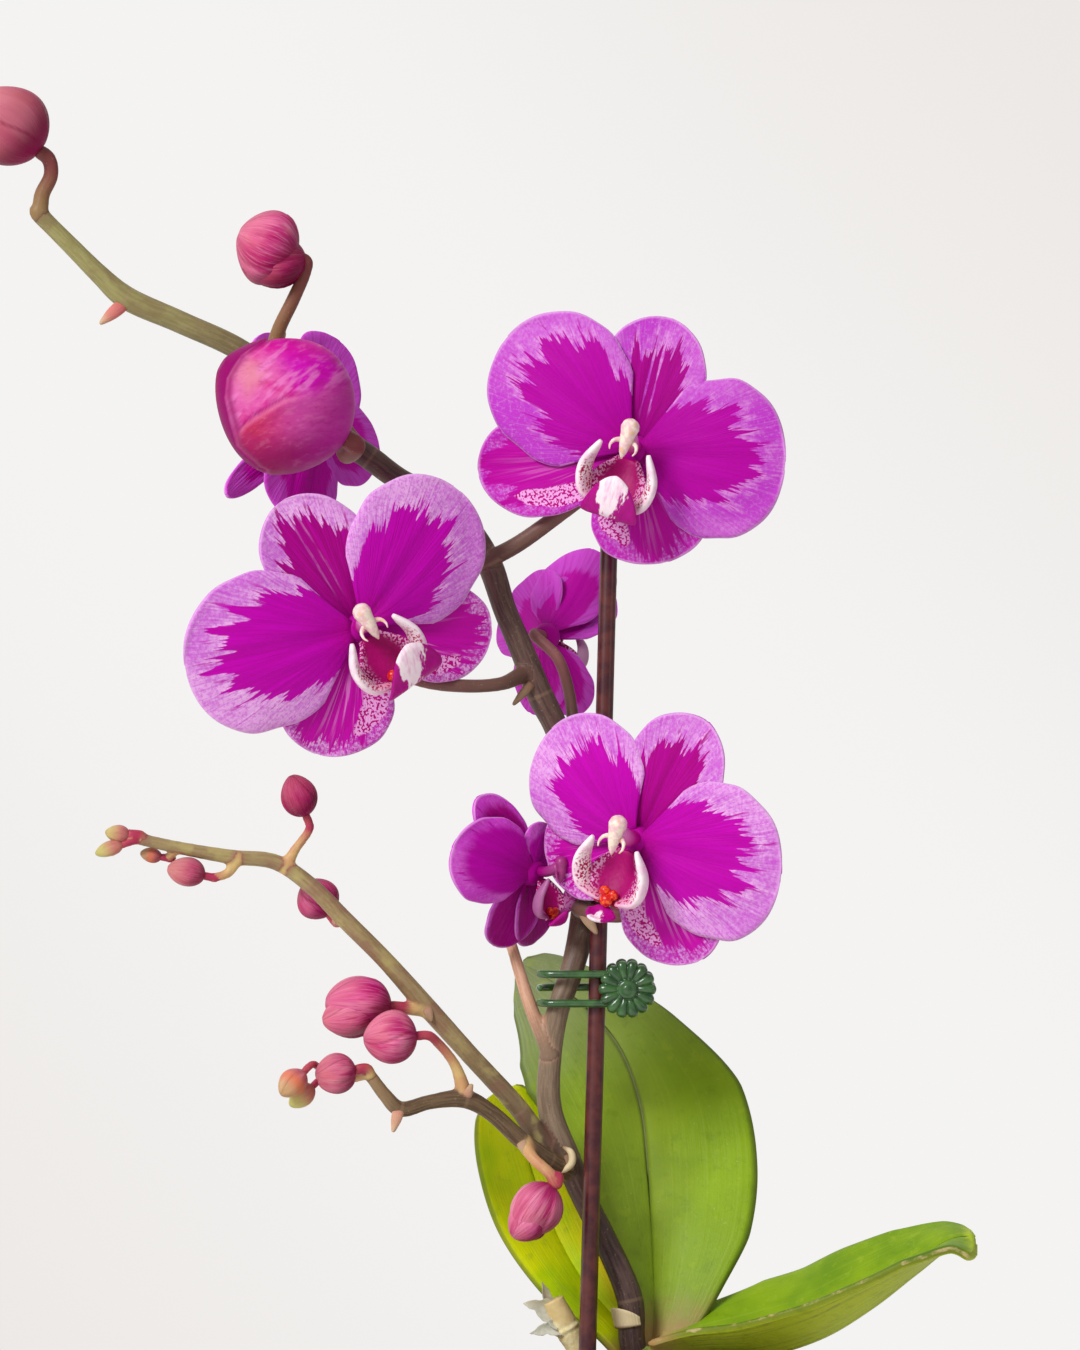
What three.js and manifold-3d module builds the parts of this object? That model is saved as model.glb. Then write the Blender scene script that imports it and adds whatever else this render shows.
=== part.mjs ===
// A miniature moth orchid in a plain pot: bark, roots, leaves, one branched flower spike with open
// flowers and buds, a thin stake, and the small daisy clip that ties the spike to the stake.
// Millimetres, +Z up. The origin is the middle of the pot's underside. The flowers look towards -Y.
import * as THREE from "three";
import { mergeVertices } from "three/addons/utils/BufferGeometryUtils.js";
import Module from "manifold-3d";

const wasm = await Module();
wasm.setup();

// Driving sizes
const GAP = 0.3; // between two pieces that touch
const POT = {
  height: 76,
  rimRadius: 46,
  footRadius: 35,
  wall: 4,
  floor: 5,
  bandHeight: 14,
  bandProud: 2,
  sides: 22,
};
const DRAIN = { count: 4, radius: 4, ring: 20 };
const BARK = { edgeBelowRim: 7, moundTop: 79, chips: 12, chipLength: 24 };
const STAKE = { radius: 1.75, sides: 10 };
const SPIKE = { sides: 7, branchSides: 6, stalkSides: 5 };
const TEPAL = {
  thickness: 0.8,
  rows: 4,
  columns: 4,
  from: 0.04, // where the blade starts and ends, as shares of its length
  to: 0.995,
  crowd: 1.7,
  flare: 2.4, // how fast the foot widens
  tip: 0.16, // least half width at the tip, as a share of the whole
};
const CORE = { back: 2.4, front: 1.5 }; // how far the flower's middle stands behind and in front
const LEAF = { thickness: 1.8, rows: 10, columns: 4 };
const BRACT = { thickness: 0.7, rows: 2, columns: 2 };
const LIP = { thickness: 0.8, rows: 4, columns: 2, frontRows: 6 };
const CLIP = {
  petals: 14,
  padRadius: 5.8,
  padDepth: 1.8,
  rodRadius: 0.8,
  barrelRadius: 1.35,
  pinRadius: 0.6,
  pinPlay: 0.08,
  hinge: [-0.2, 154.8],
  padOffset: 1.6,
  springRadius: 0.95,
  wireRadius: 0.2,
  springTurns: 2,
  springFoot: 0.7, // the spring's height above the hinge's middle
};

// The plant is laid out as it looks from the front. A point is given as [across, up, depth]: across
// and up are where it appears against the upright plane through the pot's axis, and depth is how far
// it lies behind that plane. The eye is VIEW.distance in front of the plane, at VIEW.across, VIEW.up.
// A row with a fourth number adds the radius there.
const VIEW = { distance: 1400, across: -16, up: 217.4 };

function at([across, up, depth]) {
  const grown = 1 + depth / VIEW.distance;
  return new THREE.Vector3(
    VIEW.across + (across - VIEW.across) * grown,
    depth,
    VIEW.up + (up - VIEW.up) * grown,
  );
}

// Solids

function solid(geometry) {
  const bare = geometry.index ? geometry.clone() : geometry;
  bare.deleteAttribute("normal");
  bare.deleteAttribute("uv");
  const merged = mergeVertices(bare, 1e-4);
  return new wasm.Manifold(
    new wasm.Mesh({
      numProp: 3,
      vertProperties: merged.attributes.position.array,
      triVerts: new Uint32Array(merged.index.array),
    }),
  );
}

function geometryOf(made) {
  const { vertProperties, triVerts, numProp } = made.getMesh();
  const points = new Float32Array((vertProperties.length / numProp) * 3);
  for (let i = 0; i < points.length / 3; i++)
    points.set(vertProperties.subarray(i * numProp, i * numProp + 3), i * 3);
  const geometry = new THREE.BufferGeometry();
  geometry.setAttribute("position", new THREE.BufferAttribute(points, 3));
  geometry.setIndex(new THREE.BufferAttribute(new Uint32Array(triVerts), 1));
  geometry.computeVertexNormals();
  return geometry;
}

const join = (pieces) => wasm.Manifold.union(pieces);

// The biggest of the shells, which also fills any pocket shut inside it.
function largest(made) {
  return made.decompose().reduce((a, b) => (a.volume() > b.volume() ? a : b));
}

// A closed skin over rings of points, one ring after another, with a fan over each end.
function skin(rings) {
  const sides = rings[0].length;
  const points = rings.flat();
  const middle = (ring) =>
    ring.reduce((sum, p) => sum.add(p), new THREE.Vector3()).divideScalar(sides);
  const first = points.push(middle(rings[0])) - 1;
  const last = points.push(middle(rings[rings.length - 1])) - 1;
  const faces = [];
  for (let r = 0; r + 1 < rings.length; r++)
    for (let i = 0; i < sides; i++) {
      const j = (i + 1) % sides;
      const [a, b, c, d] = [r * sides + i, r * sides + j, (r + 1) * sides + j, (r + 1) * sides + i];
      faces.push(a, b, c, a, c, d);
    }
  const top = (rings.length - 1) * sides;
  for (let i = 0; i < sides; i++) {
    const j = (i + 1) % sides;
    faces.push(first, j, i, last, top + i, top + j);
  }
  return outward(points, faces);
}

// The solid of a triangle list, turned round if its faces point inwards.
function outward(points, faces) {
  let volume = 0;
  for (let i = 0; i < faces.length; i += 3) {
    const [a, b, c] = [points[faces[i]], points[faces[i + 1]], points[faces[i + 2]]];
    volume += a.dot(new THREE.Vector3().crossVectors(b, c));
  }
  if (volume < 0)
    for (let i = 0; i < faces.length; i += 3)
      [faces[i + 1], faces[i + 2]] = [faces[i + 2], faces[i + 1]];
  const geometry = new THREE.BufferGeometry().setFromPoints(points);
  geometry.setIndex(faces);
  return solid(geometry);
}

// A thin blade over the surface point(s, t), s from 0 to 1 along it and t from -1 to 1 across it.
// Both faces are split into the same triangles.
function sheet(point, rows, columns, thickness) {
  const front = [];
  const back = [];
  const step = 1e-3;
  for (let r = 0; r <= rows; r++)
    for (let c = 0; c <= columns; c++) {
      const s = r / rows;
      const t = (2 * c) / columns - 1;
      const along = point(Math.min(1, s + step), t).sub(point(Math.max(0, s - step), t));
      const across = point(s, Math.min(1, t + step)).sub(point(s, Math.max(-1, t - step)));
      const normal = across.cross(along).normalize().multiplyScalar(thickness / 2);
      front.push(point(s, t).add(normal));
      back.push(point(s, t).sub(normal));
    }
  const wide = columns + 1;
  const count = front.length;
  const faces = [];
  for (let r = 0; r < rows; r++)
    for (let c = 0; c < columns; c++) {
      const [a, b, d, e] = [r * wide + c, r * wide + c + 1, (r + 1) * wide + c + 1, (r + 1) * wide + c];
      faces.push(a, b, d, a, d, e);
      faces.push(count + a, count + d, count + b, count + a, count + e, count + d);
    }
  const rim = [];
  for (let c = 0; c < columns; c++) rim.push(c);
  for (let r = 0; r < rows; r++) rim.push(r * wide + columns);
  for (let c = columns; c > 0; c--) rim.push(rows * wide + c);
  for (let r = rows; r > 0; r--) rim.push(r * wide);
  rim.forEach((a, i) => {
    const b = rim[(i + 1) % rim.length];
    faces.push(a, count + a, b, b, count + a, count + b);
  });
  return outward([...front, ...back], faces);
}

// A round limb through points, with a radius at each of them.
function limb(points, radii, sides) {
  const curve = new THREE.CatmullRomCurve3(points, false, "centripetal");
  const steps = points.length - 1;
  const frames = curve.computeFrenetFrames(steps, false);
  const rings = frames.normals.map((normal, i) => {
    const middle = curve.getPointAt(i / steps);
    const spot = curve.getUtoTmapping(i / steps) * steps;
    const low = Math.min(Math.floor(spot), steps - 1);
    const radius = THREE.MathUtils.lerp(radii[low], radii[low + 1], spot - low);
    return Array.from({ length: sides }, (_, k) => {
      const angle = (k / sides) * Math.PI * 2;
      return middle
        .clone()
        .addScaledVector(normal, radius * Math.cos(angle))
        .addScaledVector(frames.binormals[i], radius * Math.sin(angle));
    });
  });
  return skin(rings);
}

// A closed ovoid from base to tip, fullest a little past its middle, with three low ridges.
function ovoid(base, tip, radius, { sides = 9, rows = 5, ridge = 0.06 } = {}) {
  const fullest = 0.85;
  const blunt = 0.62;
  const axis = tip.clone().sub(base);
  const turn = new THREE.Quaternion().setFromUnitVectors(
    new THREE.Vector3(0, 0, 1),
    axis.clone().normalize(),
  );
  const rings = [];
  for (let r = 0; r <= rows; r++) {
    const s = THREE.MathUtils.lerp(0.02, 0.98, (1 - Math.cos((r / rows) * Math.PI)) / 2);
    const swell = radius * Math.pow(Math.sin(Math.PI * Math.pow(s, fullest)), blunt);
    const ring = [];
    for (let k = 0; k < sides; k++) {
      const angle = (k / sides) * Math.PI * 2;
      const reach = swell * (1 + ridge * Math.cos(3 * angle));
      ring.push(
        new THREE.Vector3(Math.cos(angle) * reach, Math.sin(angle) * reach, 0)
          .applyQuaternion(turn)
          .addScaledVector(axis, s)
          .add(base),
      );
    }
    rings.push(ring);
  }
  return skin(rings);
}

// The part's group
const plant = new THREE.Group();

function add(name, made, colour, roughness, metalness = 0) {
  const mesh = new THREE.Mesh(
    geometryOf(made),
    new THREE.MeshStandardMaterial({ color: colour, roughness, metalness }),
  );
  mesh.name = name;
  plant.add(mesh);
}

const COLOUR = {
  pot: 0xd8d3c8,
  bark: 0x6b4630,
  stake: 0x6a3133,
  spike: 0x6e5a48,
  crown: 0x6f7a36,
  leaf: 0x6f9c17,
  paleLeaf: 0x8fae10,
  root: 0x9aa07c,
  stump: 0xd8c07a,
  tepal: 0xc018a8,
  lip: 0xd9a0c4,
  column: 0xf1dcd8,
  bud: 0xc83c78,
  clip: 0x3f7a45,
  steel: 0xb8b8b8,
};

const GOLDEN = Math.PI * (3 - Math.sqrt(5)); // the turn that spreads chips evenly

// The same draw each time, from 0 to 1.
let seed = 7;
function draw() {
  seed = (seed * 16807) % 2147483647;
  return seed / 2147483647;
}
const between = (low, high) => low + (high - low) * draw();

// Flowers

// Each flower: where its middle is, which way it faces (turned to the right and up, in degrees), how
// its lip is rolled, how far the lip's front is swung to the right and turned up and its half width,
// and each tepal's tip, right and up of the middle in the flower's own plane, with the tepal's width.
// lipSize is the size of its lip and column against the others', lean tips its tepals forwards, in
// degrees, and behind names a flower that presses on this one's lip from the front.
const FLOWERS = {
  flower_top: {
    middle: [3, 262.4, -13],
    face: [-15, -6],
    roll: 18,
    front: [1, 8, 7.4],
    dorsal: [7, 26, 21],
    petal_left: [-26.5, 22, 30],
    petal_right: [30, -3.5, 32],
    sepal_left: [-33, -4.5, 21],
    sepal_right: [5, -22.5, 25],
  },
  flower_left: {
    middle: [-52, 226.8, -16],
    face: [20, -8],
    roll: -35,
    front: [3.2, 8, 7.6],
    dorsal: [-16.5, 24.8, 22],
    petal_left: [-35, -8.6, 32],
    petal_right: [19.5, 27.6, 29],
    sepal_left: [-7, -25.5, 24],
    sepal_right: [28.5, -1.5, 20],
  },
  flower_low: {
    middle: [3.4, 184.4, -17],
    face: [-30, -10],
    roll: 18,
    front: [0.6, -1.5, 6],
    dorsal: [16.5, 23.5, 21],
    petal_left: [-18.5, 21.5, 27.5],
    petal_right: [30.5, -7.5, 32],
    sepal_left: [-22, -5, 19],
    sepal_right: [10.5, -24.6, 23],
  },
  flower_side: {
    middle: [-17.4, 178, -1.4],
    face: [48, -12],
    roll: -6,
    front: [-1, 4, 4.4],
    lipSize: 0.68,
    behind: "flower_low",
    lean: -6,
    dorsal: [-15.5, 14.5, 10.5],
    petal_left: [-21.5, 4.2, 17.6],
    petal_right: [5, 8.6, 14],
    sepal_left: [-4, -16.2, 14.4],
    sepal_right: [7.6, -16, 12],
  },
  flower_behind: {
    middle: [-14.6, 225, 15],
    face: [156, -4],
    roll: 12,
    front: [0, 4, 5],
    lipSize: 0.66,
    lean: 38,
    dorsal: [-5, 22, 17],
    petal_left: [-9, 15, 16],
    petal_right: [16, 12, 20],
    sepal_left: [-3, -18, 12],
    sepal_right: [9, -17, 13],
  },
  flower_upper: {
    middle: [-61.4, 267.6, 18],
    face: [-134, -10],
    roll: 30,
    front: [0, 6, 7],
    lean: 10,
    dorsal: [11, 18, 15],
    petal_left: [-13.5, 18, 20],
    petal_right: [23.5, -14.5, 6.5],
    sepal_left: [-19, -6, 18],
    sepal_right: [6.4, -20, 20],
  },
};

function frameOf({ middle, face: [turn, lift], roll }) {
  const [yaw, pitch, spin] = [turn, lift, roll].map(THREE.MathUtils.degToRad);
  const facing = new THREE.Vector3(
    Math.sin(yaw) * Math.cos(pitch),
    -Math.cos(yaw) * Math.cos(pitch),
    Math.sin(pitch),
  );
  const up = new THREE.Vector3(0, 0, 1).addScaledVector(facing, -facing.z).normalize();
  const right = new THREE.Vector3().crossVectors(up, facing);
  const origin = at(middle);
  // A point right, up and forwards of the flower's middle.
  const place = (a, b, n) =>
    origin.clone().addScaledVector(right, a).addScaledVector(up, b).addScaledVector(facing, n);
  // The same, in the frame rolled with the lip.
  const rolled = (a, b, n) =>
    place(
      a * Math.cos(spin) + b * Math.sin(spin),
      b * Math.cos(spin) - a * Math.sin(spin),
      n,
    );
  return { place, rolled };
}

// How a petal and a sepal are shaped: how narrow their foot is, where they widen and how blunt they
// end, how far they stand in front of the flower's middle, how they rise and then bend back over their
// length, how their sides curve, and how much their margin waves.
const PETAL = {
  claw: 0.3,
  swell: 0.62,
  blunt: 0.46,
  lift: 0.7,
  rise: 0.16,
  bendBack: 0.24,
  sides: -0.1,
  wave: 0.5,
};
const SEPAL = {
  claw: 0.4,
  swell: 0.7,
  blunt: 0.5,
  lift: -0.9,
  rise: 0.1,
  bendBack: 0.16,
  sides: 0.06,
  wave: 0.25,
};

// A tepal's surface for sheet(). Its rows crowd towards the tip, where the outline turns fastest.
function tepalPoint(place, [a, b, width], form, lean = 0, extra = 0) {
  const length = Math.hypot(a, b) + extra;
  const tilt = THREE.MathUtils.degToRad(lean);
  const peak = form.swell / (form.swell + form.blunt);
  const most = Math.pow(peak, form.swell) * Math.pow(1 - peak, form.blunt);
  return (row, t) => {
    const s = THREE.MathUtils.lerp(TEPAL.from, TEPAL.to, 1 - Math.pow(1 - row, TEPAL.crowd));
    const outline = (Math.pow(s, form.swell) * Math.pow(1 - s, form.blunt)) / most;
    const claw = Math.min(1, form.claw + TEPAL.flare * s);
    const half = (width / 2) * Math.max(outline * claw, row < 0.5 ? 0 : TEPAL.tip) + extra;
    const wave = form.wave * Math.sin(5 * s + 3.3 * t) * t * t * s;
    const bend = length * (form.rise * s - form.bendBack * s * s);
    const out = length * s;
    const high = form.lift + bend + form.sides * half * t * t + wave;
    const flat = out * Math.cos(tilt) - high * Math.sin(tilt);
    const forward = out * Math.sin(tilt) + high * Math.cos(tilt);
    return place(
      (a / length) * flat + (b / length) * half * t,
      (b / length) * flat - (a / length) * half * t,
      forward,
    );
  };
}

// All five tepals with the flower's middle; extra grows them all round, to cut a gap.
function tepals(flower, extra = 0) {
  const { place } = frameOf(flower);
  const blades = [
    [flower.dorsal, SEPAL],
    [flower.sepal_left, SEPAL],
    [flower.sepal_right, SEPAL],
    [flower.petal_left, PETAL],
    [flower.petal_right, PETAL],
  ].map(([tip, form]) =>
    sheet(
      tepalPoint(place, tip, form, flower.lean, extra),
      TEPAL.rows,
      TEPAL.columns,
      TEPAL.thickness + 2 * extra,
    ),
  );
  const core = limb(
    [place(0, 0, -CORE.back - extra), place(0, 0, -0.6), place(0, 0, CORE.front + extra)],
    [1.6 + extra, 2.9 + extra, 2.4 + extra],
    SPIKE.sides,
  );
  return largest(join([...blades, core]));
}

// The lip: a narrow foot, two side lobes that stand up either side of the throat, and a front that is
// wider than long and pointed at both ends.
function lip(flower) {
  const size = flower.lipSize ?? 1;
  const { rolled } = frameOf(flower);
  const spot = (a, b, n) => rolled(a * size, b * size, 3 + (n - 3) * size);
  const foot = limb(
    [spot(0, -2.2, 3), spot(0, -5, 3.6), spot(0, -9, 5.6), spot(0, -12, 8)],
    [1.1, 1.3, 1.9, 1.5],
    6,
  );
  const lobes = [-1, 1].map((side) => {
    const spine = new THREE.CatmullRomCurve3([
      new THREE.Vector3(1.4, -11.6, 6.8),
      new THREE.Vector3(5.6, -9.6, 7.2),
      new THREE.Vector3(7, -4.6, 8.2),
      new THREE.Vector3(5, 1.2, 9.6),
    ]);
    return sheet(
      (s, t) => {
        const p = spine.getPoint(s);
        const half = 0.5 + 2.2 * Math.pow(Math.sin(Math.PI * Math.min(0.999, 0.1 + 0.9 * s)), 0.8);
        return spot(side * (p.x + 0.35 * half * t), p.y, p.z + half * t);
      },
      LIP.rows,
      LIP.columns,
      LIP.thickness,
    );
  });
  const [swing, rise, width] = flower.front;
  const front = sheet(
    (s, t) => {
      const side = 2 * s - 1;
      const out = (1 + t) / 2;
      const full = 1 - Math.pow(Math.abs(side), 1.6);
      const climb = rise * out * out - 1.6 * Math.sin(Math.PI * out);
      return spot(
        swing * out + width * side * (0.35 + 0.65 * out),
        -12 + climb * (0.15 + 0.85 * full) - 0.8 * Math.abs(side),
        8 + 6 * out * (0.5 + 0.5 * full),
      );
    },
    LIP.frontRows,
    LIP.columns,
    LIP.thickness,
  );
  return join([foot, ...lobes, front]);
}

// The column: a stout rod that ends in a long rounded head, its beak downwards.
function column(flower) {
  const size = flower.lipSize ?? 1;
  const { rolled } = frameOf(flower);
  const start = CORE.front + 0.4;
  const spot = (b, n) => rolled(0, b * size, start + (n - start) * size);
  const rod = limb(
    [spot(0.9, start), spot(1.2, 4), spot(2.5, 6.8), spot(3.6, 9)],
    [1.5, 1.5, 1.6, 1.8].map((radius) => radius * size),
    6,
  );
  const head = ovoid(spot(6.9, 9.6), spot(-0.8, 10.2), 2.2 * size, { sides: 6, rows: 3, ridge: 0 });
  return join([rod, head]);
}

for (const [name, flower] of Object.entries(FLOWERS)) {
  add(`${name}_tepals`, tepals(flower), COLOUR.tepal, 0.55);
  // Tepals that fold well forwards press round the lip and the column, and so do the tepals of a
  // flower in front, so the lip and the column give way to them.
  const pressing = flower.lean > 20 ? flower : FLOWERS[flower.behind];
  const clear = pressing && tepals(pressing, GAP);
  const freed = (made) => (clear ? largest(made.subtract(clear)) : made);
  add(`${name}_lip`, freed(lip(flower)), COLOUR.lip, 0.5);
  add(`${name}_column`, freed(column(flower)), COLOUR.column, 0.45);
}

// Buds: base, tip and radius
const BUDS = {
  bud_opening: [[-54.8, 264.6, -11.2], [-80, 279.6, -17.4], 13.4],
  bud_upper: [[-64.8, 301, -4.6], [-76.4, 305.8, -5], 7.5],
  bud_end: [[-116, 322, -7], [-129.6, 333, -8.5], 7.8],
  bud_branch_1: [[-62.8, 189.2, -10.6], [-65.8, 197.4, -11.4], 3.6],
  bud_branch_2: [[-58, 169.6, -3.2], [-63, 176, -1], 4.4],
  bud_branch_3: [[-83, 177.2, -11.8], [-90.6, 178.8, -12.6], 3],
  bud_branch_4: [[-91.6, 181, -10.2], [-96, 181.8, -10.4], 1.5],
  bud_branch_5: [[-98, 185.4, -13.4], [-103, 186, -14], 1.7],
  bud_branch_6: [[-99.4, 183.5, -14.2], [-105, 181.6, -15.2], 1.5],
  bud_branch_7: [[-45.8, 151, -9.6], [-59, 152, -11.6], 6],
  bud_lower_1: [[-40.6, 145.2, -18.4], [-51.4, 144.6, -19.6], 5.4],
  bud_lower_2: [[-52.8, 138.4, -19.5], [-61, 137.4, -21], 3.8],
  bud_lower_3: [[-63.2, 138, -21.6], [-67.8, 133.4, -24.6], 2.6],
  bud_lower_4: [[-61.4, 135.2, -17.4], [-66, 131.2, -19.6], 2.1],
  bud_hanging: [[-13.4, 114.4, -12.4], [-20.4, 104.4, -11.6], 5],
};
for (const [name, [base, tip, radius]] of Object.entries(BUDS)) {
  const small = radius < 3;
  const form = { sides: small ? 6 : 9, rows: small ? 4 : 5 };
  add(name, ovoid(at(base), at(tip), radius, form), COLOUR.bud, 0.5);
}

// The flower spike, grown in one piece: main stem, two side branches, flower stalks and bracts
const STEM = [
  [3.4, 80.6, 1.2, 2.6],
  [2.4, 84.4, 0.8, 2.7],
  [2, 92.4, 0.6, 2.7],
  [-3, 104.4, 1.2, 2.5],
  [-7, 112.4, 0.8, 2.5],
  [-10.4, 120.4, 0.3, 2.7],
  [-14, 130.4, 0, 2.5],
  [-14, 140.4, 0, 2.3],
  [-12.4, 150.4, -0.4, 2.3],
  [-9.6, 158.4, 0.8, 2.4],
  [-7.4, 168.4, 4.4, 2.7],
  [-7, 177.4, 5.6, 2.5],
  [-9, 192.4, 5, 2.5],
  [-12.6, 206.4, 4, 2.5],
  [-16, 213.4, 3.4, 2.7],
  [-19.6, 222.4, 3, 2.5],
  [-23, 230.4, 3, 2.4],
  [-26, 239.4, 3, 2.6],
  [-30, 246.4, 3.4, 2.4],
  [-36, 252.4, 4, 2.4],
  [-44, 256.4, 4, 2.4],
  [-50, 260.8, 3.6, 2.5],
  [-55, 264.4, 3, 2.5],
  [-64, 273.4, 2.2, 2.3],
  [-76, 282.4, 0.5, 2.3],
  [-88, 288, -1, 2.3],
  [-99, 293, -3, 2.4],
  [-104, 297.4, -4, 2],
  [-110, 303.4, -5, 1.8],
  [-116, 309.4, -6, 1.7],
];
const BRANCH_UPPER = [
  [-11.6, 119.4, 0, 2.1],
  [-14.4, 122.4, -1.4, 2.1],
  [-20, 130.4, -4, 2],
  [-30, 141.4, -7, 1.9],
  [-39, 151.4, -8, 2],
  [-47, 160.4, -9, 1.8],
  [-55, 168.4, -10, 1.8],
  [-62, 175.4, -10, 1.7],
  [-69, 180, -10, 1.6],
  [-77.6, 181, -11, 1.5],
  [-88, 182.8, -12, 1.3],
  [-97, 184.8, -13, 1.2],
];
const BRANCH_LOWER = [
  [-10.8, 118.4, -0.6, 2],
  [-14.4, 120.4, -4.4, 1.9],
  [-20, 124.6, -8, 1.8],
  [-26, 130, -11, 1.7],
  [-31, 132.6, -13, 1.9],
  [-38, 132, -14.6, 1.5],
  [-44, 130.6, -16, 1.6],
  [-47, 133.4, -17, 1.4],
  [-50.4, 138, -18.4, 1.2],
];
// Each stalk runs from the stem to the back of a flower or the base of a bud.
const STALKS = {
  flower_top: [
    [-26.4, 240.4, 2, 1.8],
    [-20.4, 243.6, -1, 1.7],
    [-12, 249.6, -3, 1.6],
    [-3, 256.4, -4, 1.5],
  ],
  flower_left: [
    [-19.6, 217.4, 1.5, 1.8],
    [-24, 215.6, -4, 1.4],
    [-31, 215.2, -5.4, 1.4],
    [-40, 216.4, -5.2, 1.4],
    [-50, 221, -7, 1.4],
  ],
  flower_low: [
    [-7.6, 171, 3, 1.8],
    [-7.6, 170.4, -3.4, 1.8],
    [-3.4, 169.6, -6.8, 1.7],
    [2, 170.2, -8.4, 1.6],
  ],
  flower_side: [
    [-14.2, 141.8, -0.5, 1.6],
    [-18, 151.4, 0.5, 1.4],
    [-21.4, 162.4, 5, 1.2],
    [-24.4, 172, 6.6, 1.2],
  ],
  flower_behind: [
    [-11.4, 202.4, 4.6, 1.5],
    [-9.6, 207, 6.6, 1.3],
    [-10.4, 215, 7.4, 1.2],
    [-12.6, 221, 6.6, 1.2],
  ],
  flower_upper: [
    [-50, 260.8, 5, 1.6],
    [-49.6, 259.4, 9.4, 1.4],
  ],
  bud_opening: [
    [-55, 264.2, 2, 2.1],
    [-54.6, 261.6, -5, 2],
  ],
  bud_upper: [
    [-70, 278, 0.6, 1.9],
    [-68.4, 286, -2, 1.5],
    [-65.4, 292.4, -3, 1.4],
    [-63, 298, -3.6, 1.3],
  ],
  bud_end: [
    [-116, 309.4, -6, 1.7],
    [-115.6, 313.4, -6, 1.6],
    [-113.8, 317.4, -6.5, 1.5],
  ],
  bud_branch_1: [
    [-67, 178.8, -10, 1.5],
    [-65, 182.4, -10, 1],
    [-62.4, 186, -10.2, 0.9],
  ],
  bud_branch_2: [
    [-56, 169.4, -9.8, 1.2],
    [-56.6, 168.6, -6.4, 1.1],
  ],
  bud_branch_3: [
    [-76.4, 180.8, -11, 1.2],
    [-78.4, 177.8, -11.2, 1],
    [-81.4, 176.8, -11.6, 0.9],
  ],
  bud_branch_4: [
    [-88, 182.8, -12, 1.1],
    [-90, 181.2, -10.6, 0.8],
  ],
  bud_branch_5: [
    [-96.4, 184.7, -13, 1.2],
  ],
  bud_branch_6: [
    [-96.4, 184.7, -13, 1.2],
    [-98.2, 184, -13.9, 0.8],
  ],
  bud_branch_7: [
    [-38.6, 150.6, -8, 1.7],
    [-42, 150.6, -8.8, 1.3],
  ],
  bud_lower_1: [
    [-31, 133.4, -13, 1.7],
    [-33, 139.4, -14, 1.1],
    [-36.6, 144, -16.4, 1],
  ],
  bud_lower_2: [
    [-49.8, 137.2, -18.2, 1.1],
  ],
  bud_lower_3: [
    [-50.4, 138, -18.4, 1.1],
    [-54, 138.6, -14.8, 0.8],
    [-59.6, 138.8, -15.2, 0.8],
  ],
  bud_lower_4: [
    [-50.2, 137.6, -18.4, 1],
    [-53.6, 136.6, -14.8, 0.8],
    [-58, 136.4, -14.6, 0.8],
  ],
  bud_hanging: [
    [-19.4, 124.2, -7.6, 1.5],
    [-17.4, 120.8, -10.6, 1.2],
    [-14, 117.6, -12.6, 1.2],
    [-12.6, 115.4, -12.9, 1.1],
  ],
};
// Bracts: small pointed scales, each from the stem outwards, with its width
const BRACTS = [
  [[-12.4, 122.6, -1.6], [-9, 116.8, -3.6], 3.4],
  [[0, 91.4, -1], [-1.6, 86.4, -3.4], 3.4],
  [[-44, 131.4, -16.4], [-45.4, 126, -17.6], 2],
  [[-99.4, 292.6, -3.8], [-102, 286.8, -4.8], 1.8],
  [[-7.6, 170.4, -4.4], [-4.6, 165.6, -7.4], 2.2],
  [[-17.6, 215.8, 0.8], [-21.4, 211.4, -1], 2],
  [[-70, 279.4, -0.6], [-67, 286, -1], 1.8],
  [[-31, 132.4, -13.4], [-28.4, 138, -15.4], 1.6],
  [[-39, 151.6, -8.6], [-37, 146.8, -10.4], 1.8],
  [[-20.4, 125.4, -8.6], [-17.6, 119.8, -9.4], 1.6],
];

const limbOf = (rows, sides) =>
  limb(
    rows.map((row) => at(row)),
    rows.map((row) => row[3]),
    sides,
  );
const thicker = (rows, extra) => rows.map((row) => [...row.slice(0, 3), row[3] + extra]);

// A bract narrows to its point, and its middle bulges towards the front.
function bract([from, to, width]) {
  const start = at(from);
  const axis = at(to).sub(start);
  const out = new THREE.Vector3(0, -1, 0);
  const across = new THREE.Vector3().crossVectors(axis, out).normalize();
  return sheet(
    (s, t) =>
      start
        .clone()
        .addScaledVector(axis, s)
        .addScaledVector(across, (width / 2) * t * (1.15 - s))
        .addScaledVector(out, 0.6 * Math.sin(Math.PI * s) - 0.4 * t * t),
    BRACT.rows,
    BRACT.columns,
    BRACT.thickness,
  );
}

// A stalk's last stretch comes straight up to the flower's back, or to the bud's base.
function approach(name) {
  if (FLOWERS[name]) {
    const { place } = frameOf(FLOWERS[name]);
    return [place(0, 0, -CORE.back - 4), place(0, 0, -CORE.back - GAP)];
  }
  const [base, tip] = BUDS[name];
  const axis = at(tip).sub(at(base)).normalize();
  return [2.2, GAP].map((back) => at(base).addScaledVector(axis, -back));
}

function stalk([name, rows]) {
  const radii = rows.map((row) => row[3]);
  const last = radii[radii.length - 1];
  const route = [...rows.map((row) => at(row)), ...approach(name)];
  return limb(route, [...radii, last, last], SPIKE.stalkSides);
}

const spike = join([
  limbOf(STEM, SPIKE.sides),
  limbOf(BRANCH_UPPER, SPIKE.branchSides),
  limbOf(BRANCH_LOWER, SPIKE.branchSides),
  ...Object.entries(STALKS).map(stalk),
  ...BRACTS.map(bract),
]);

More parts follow.
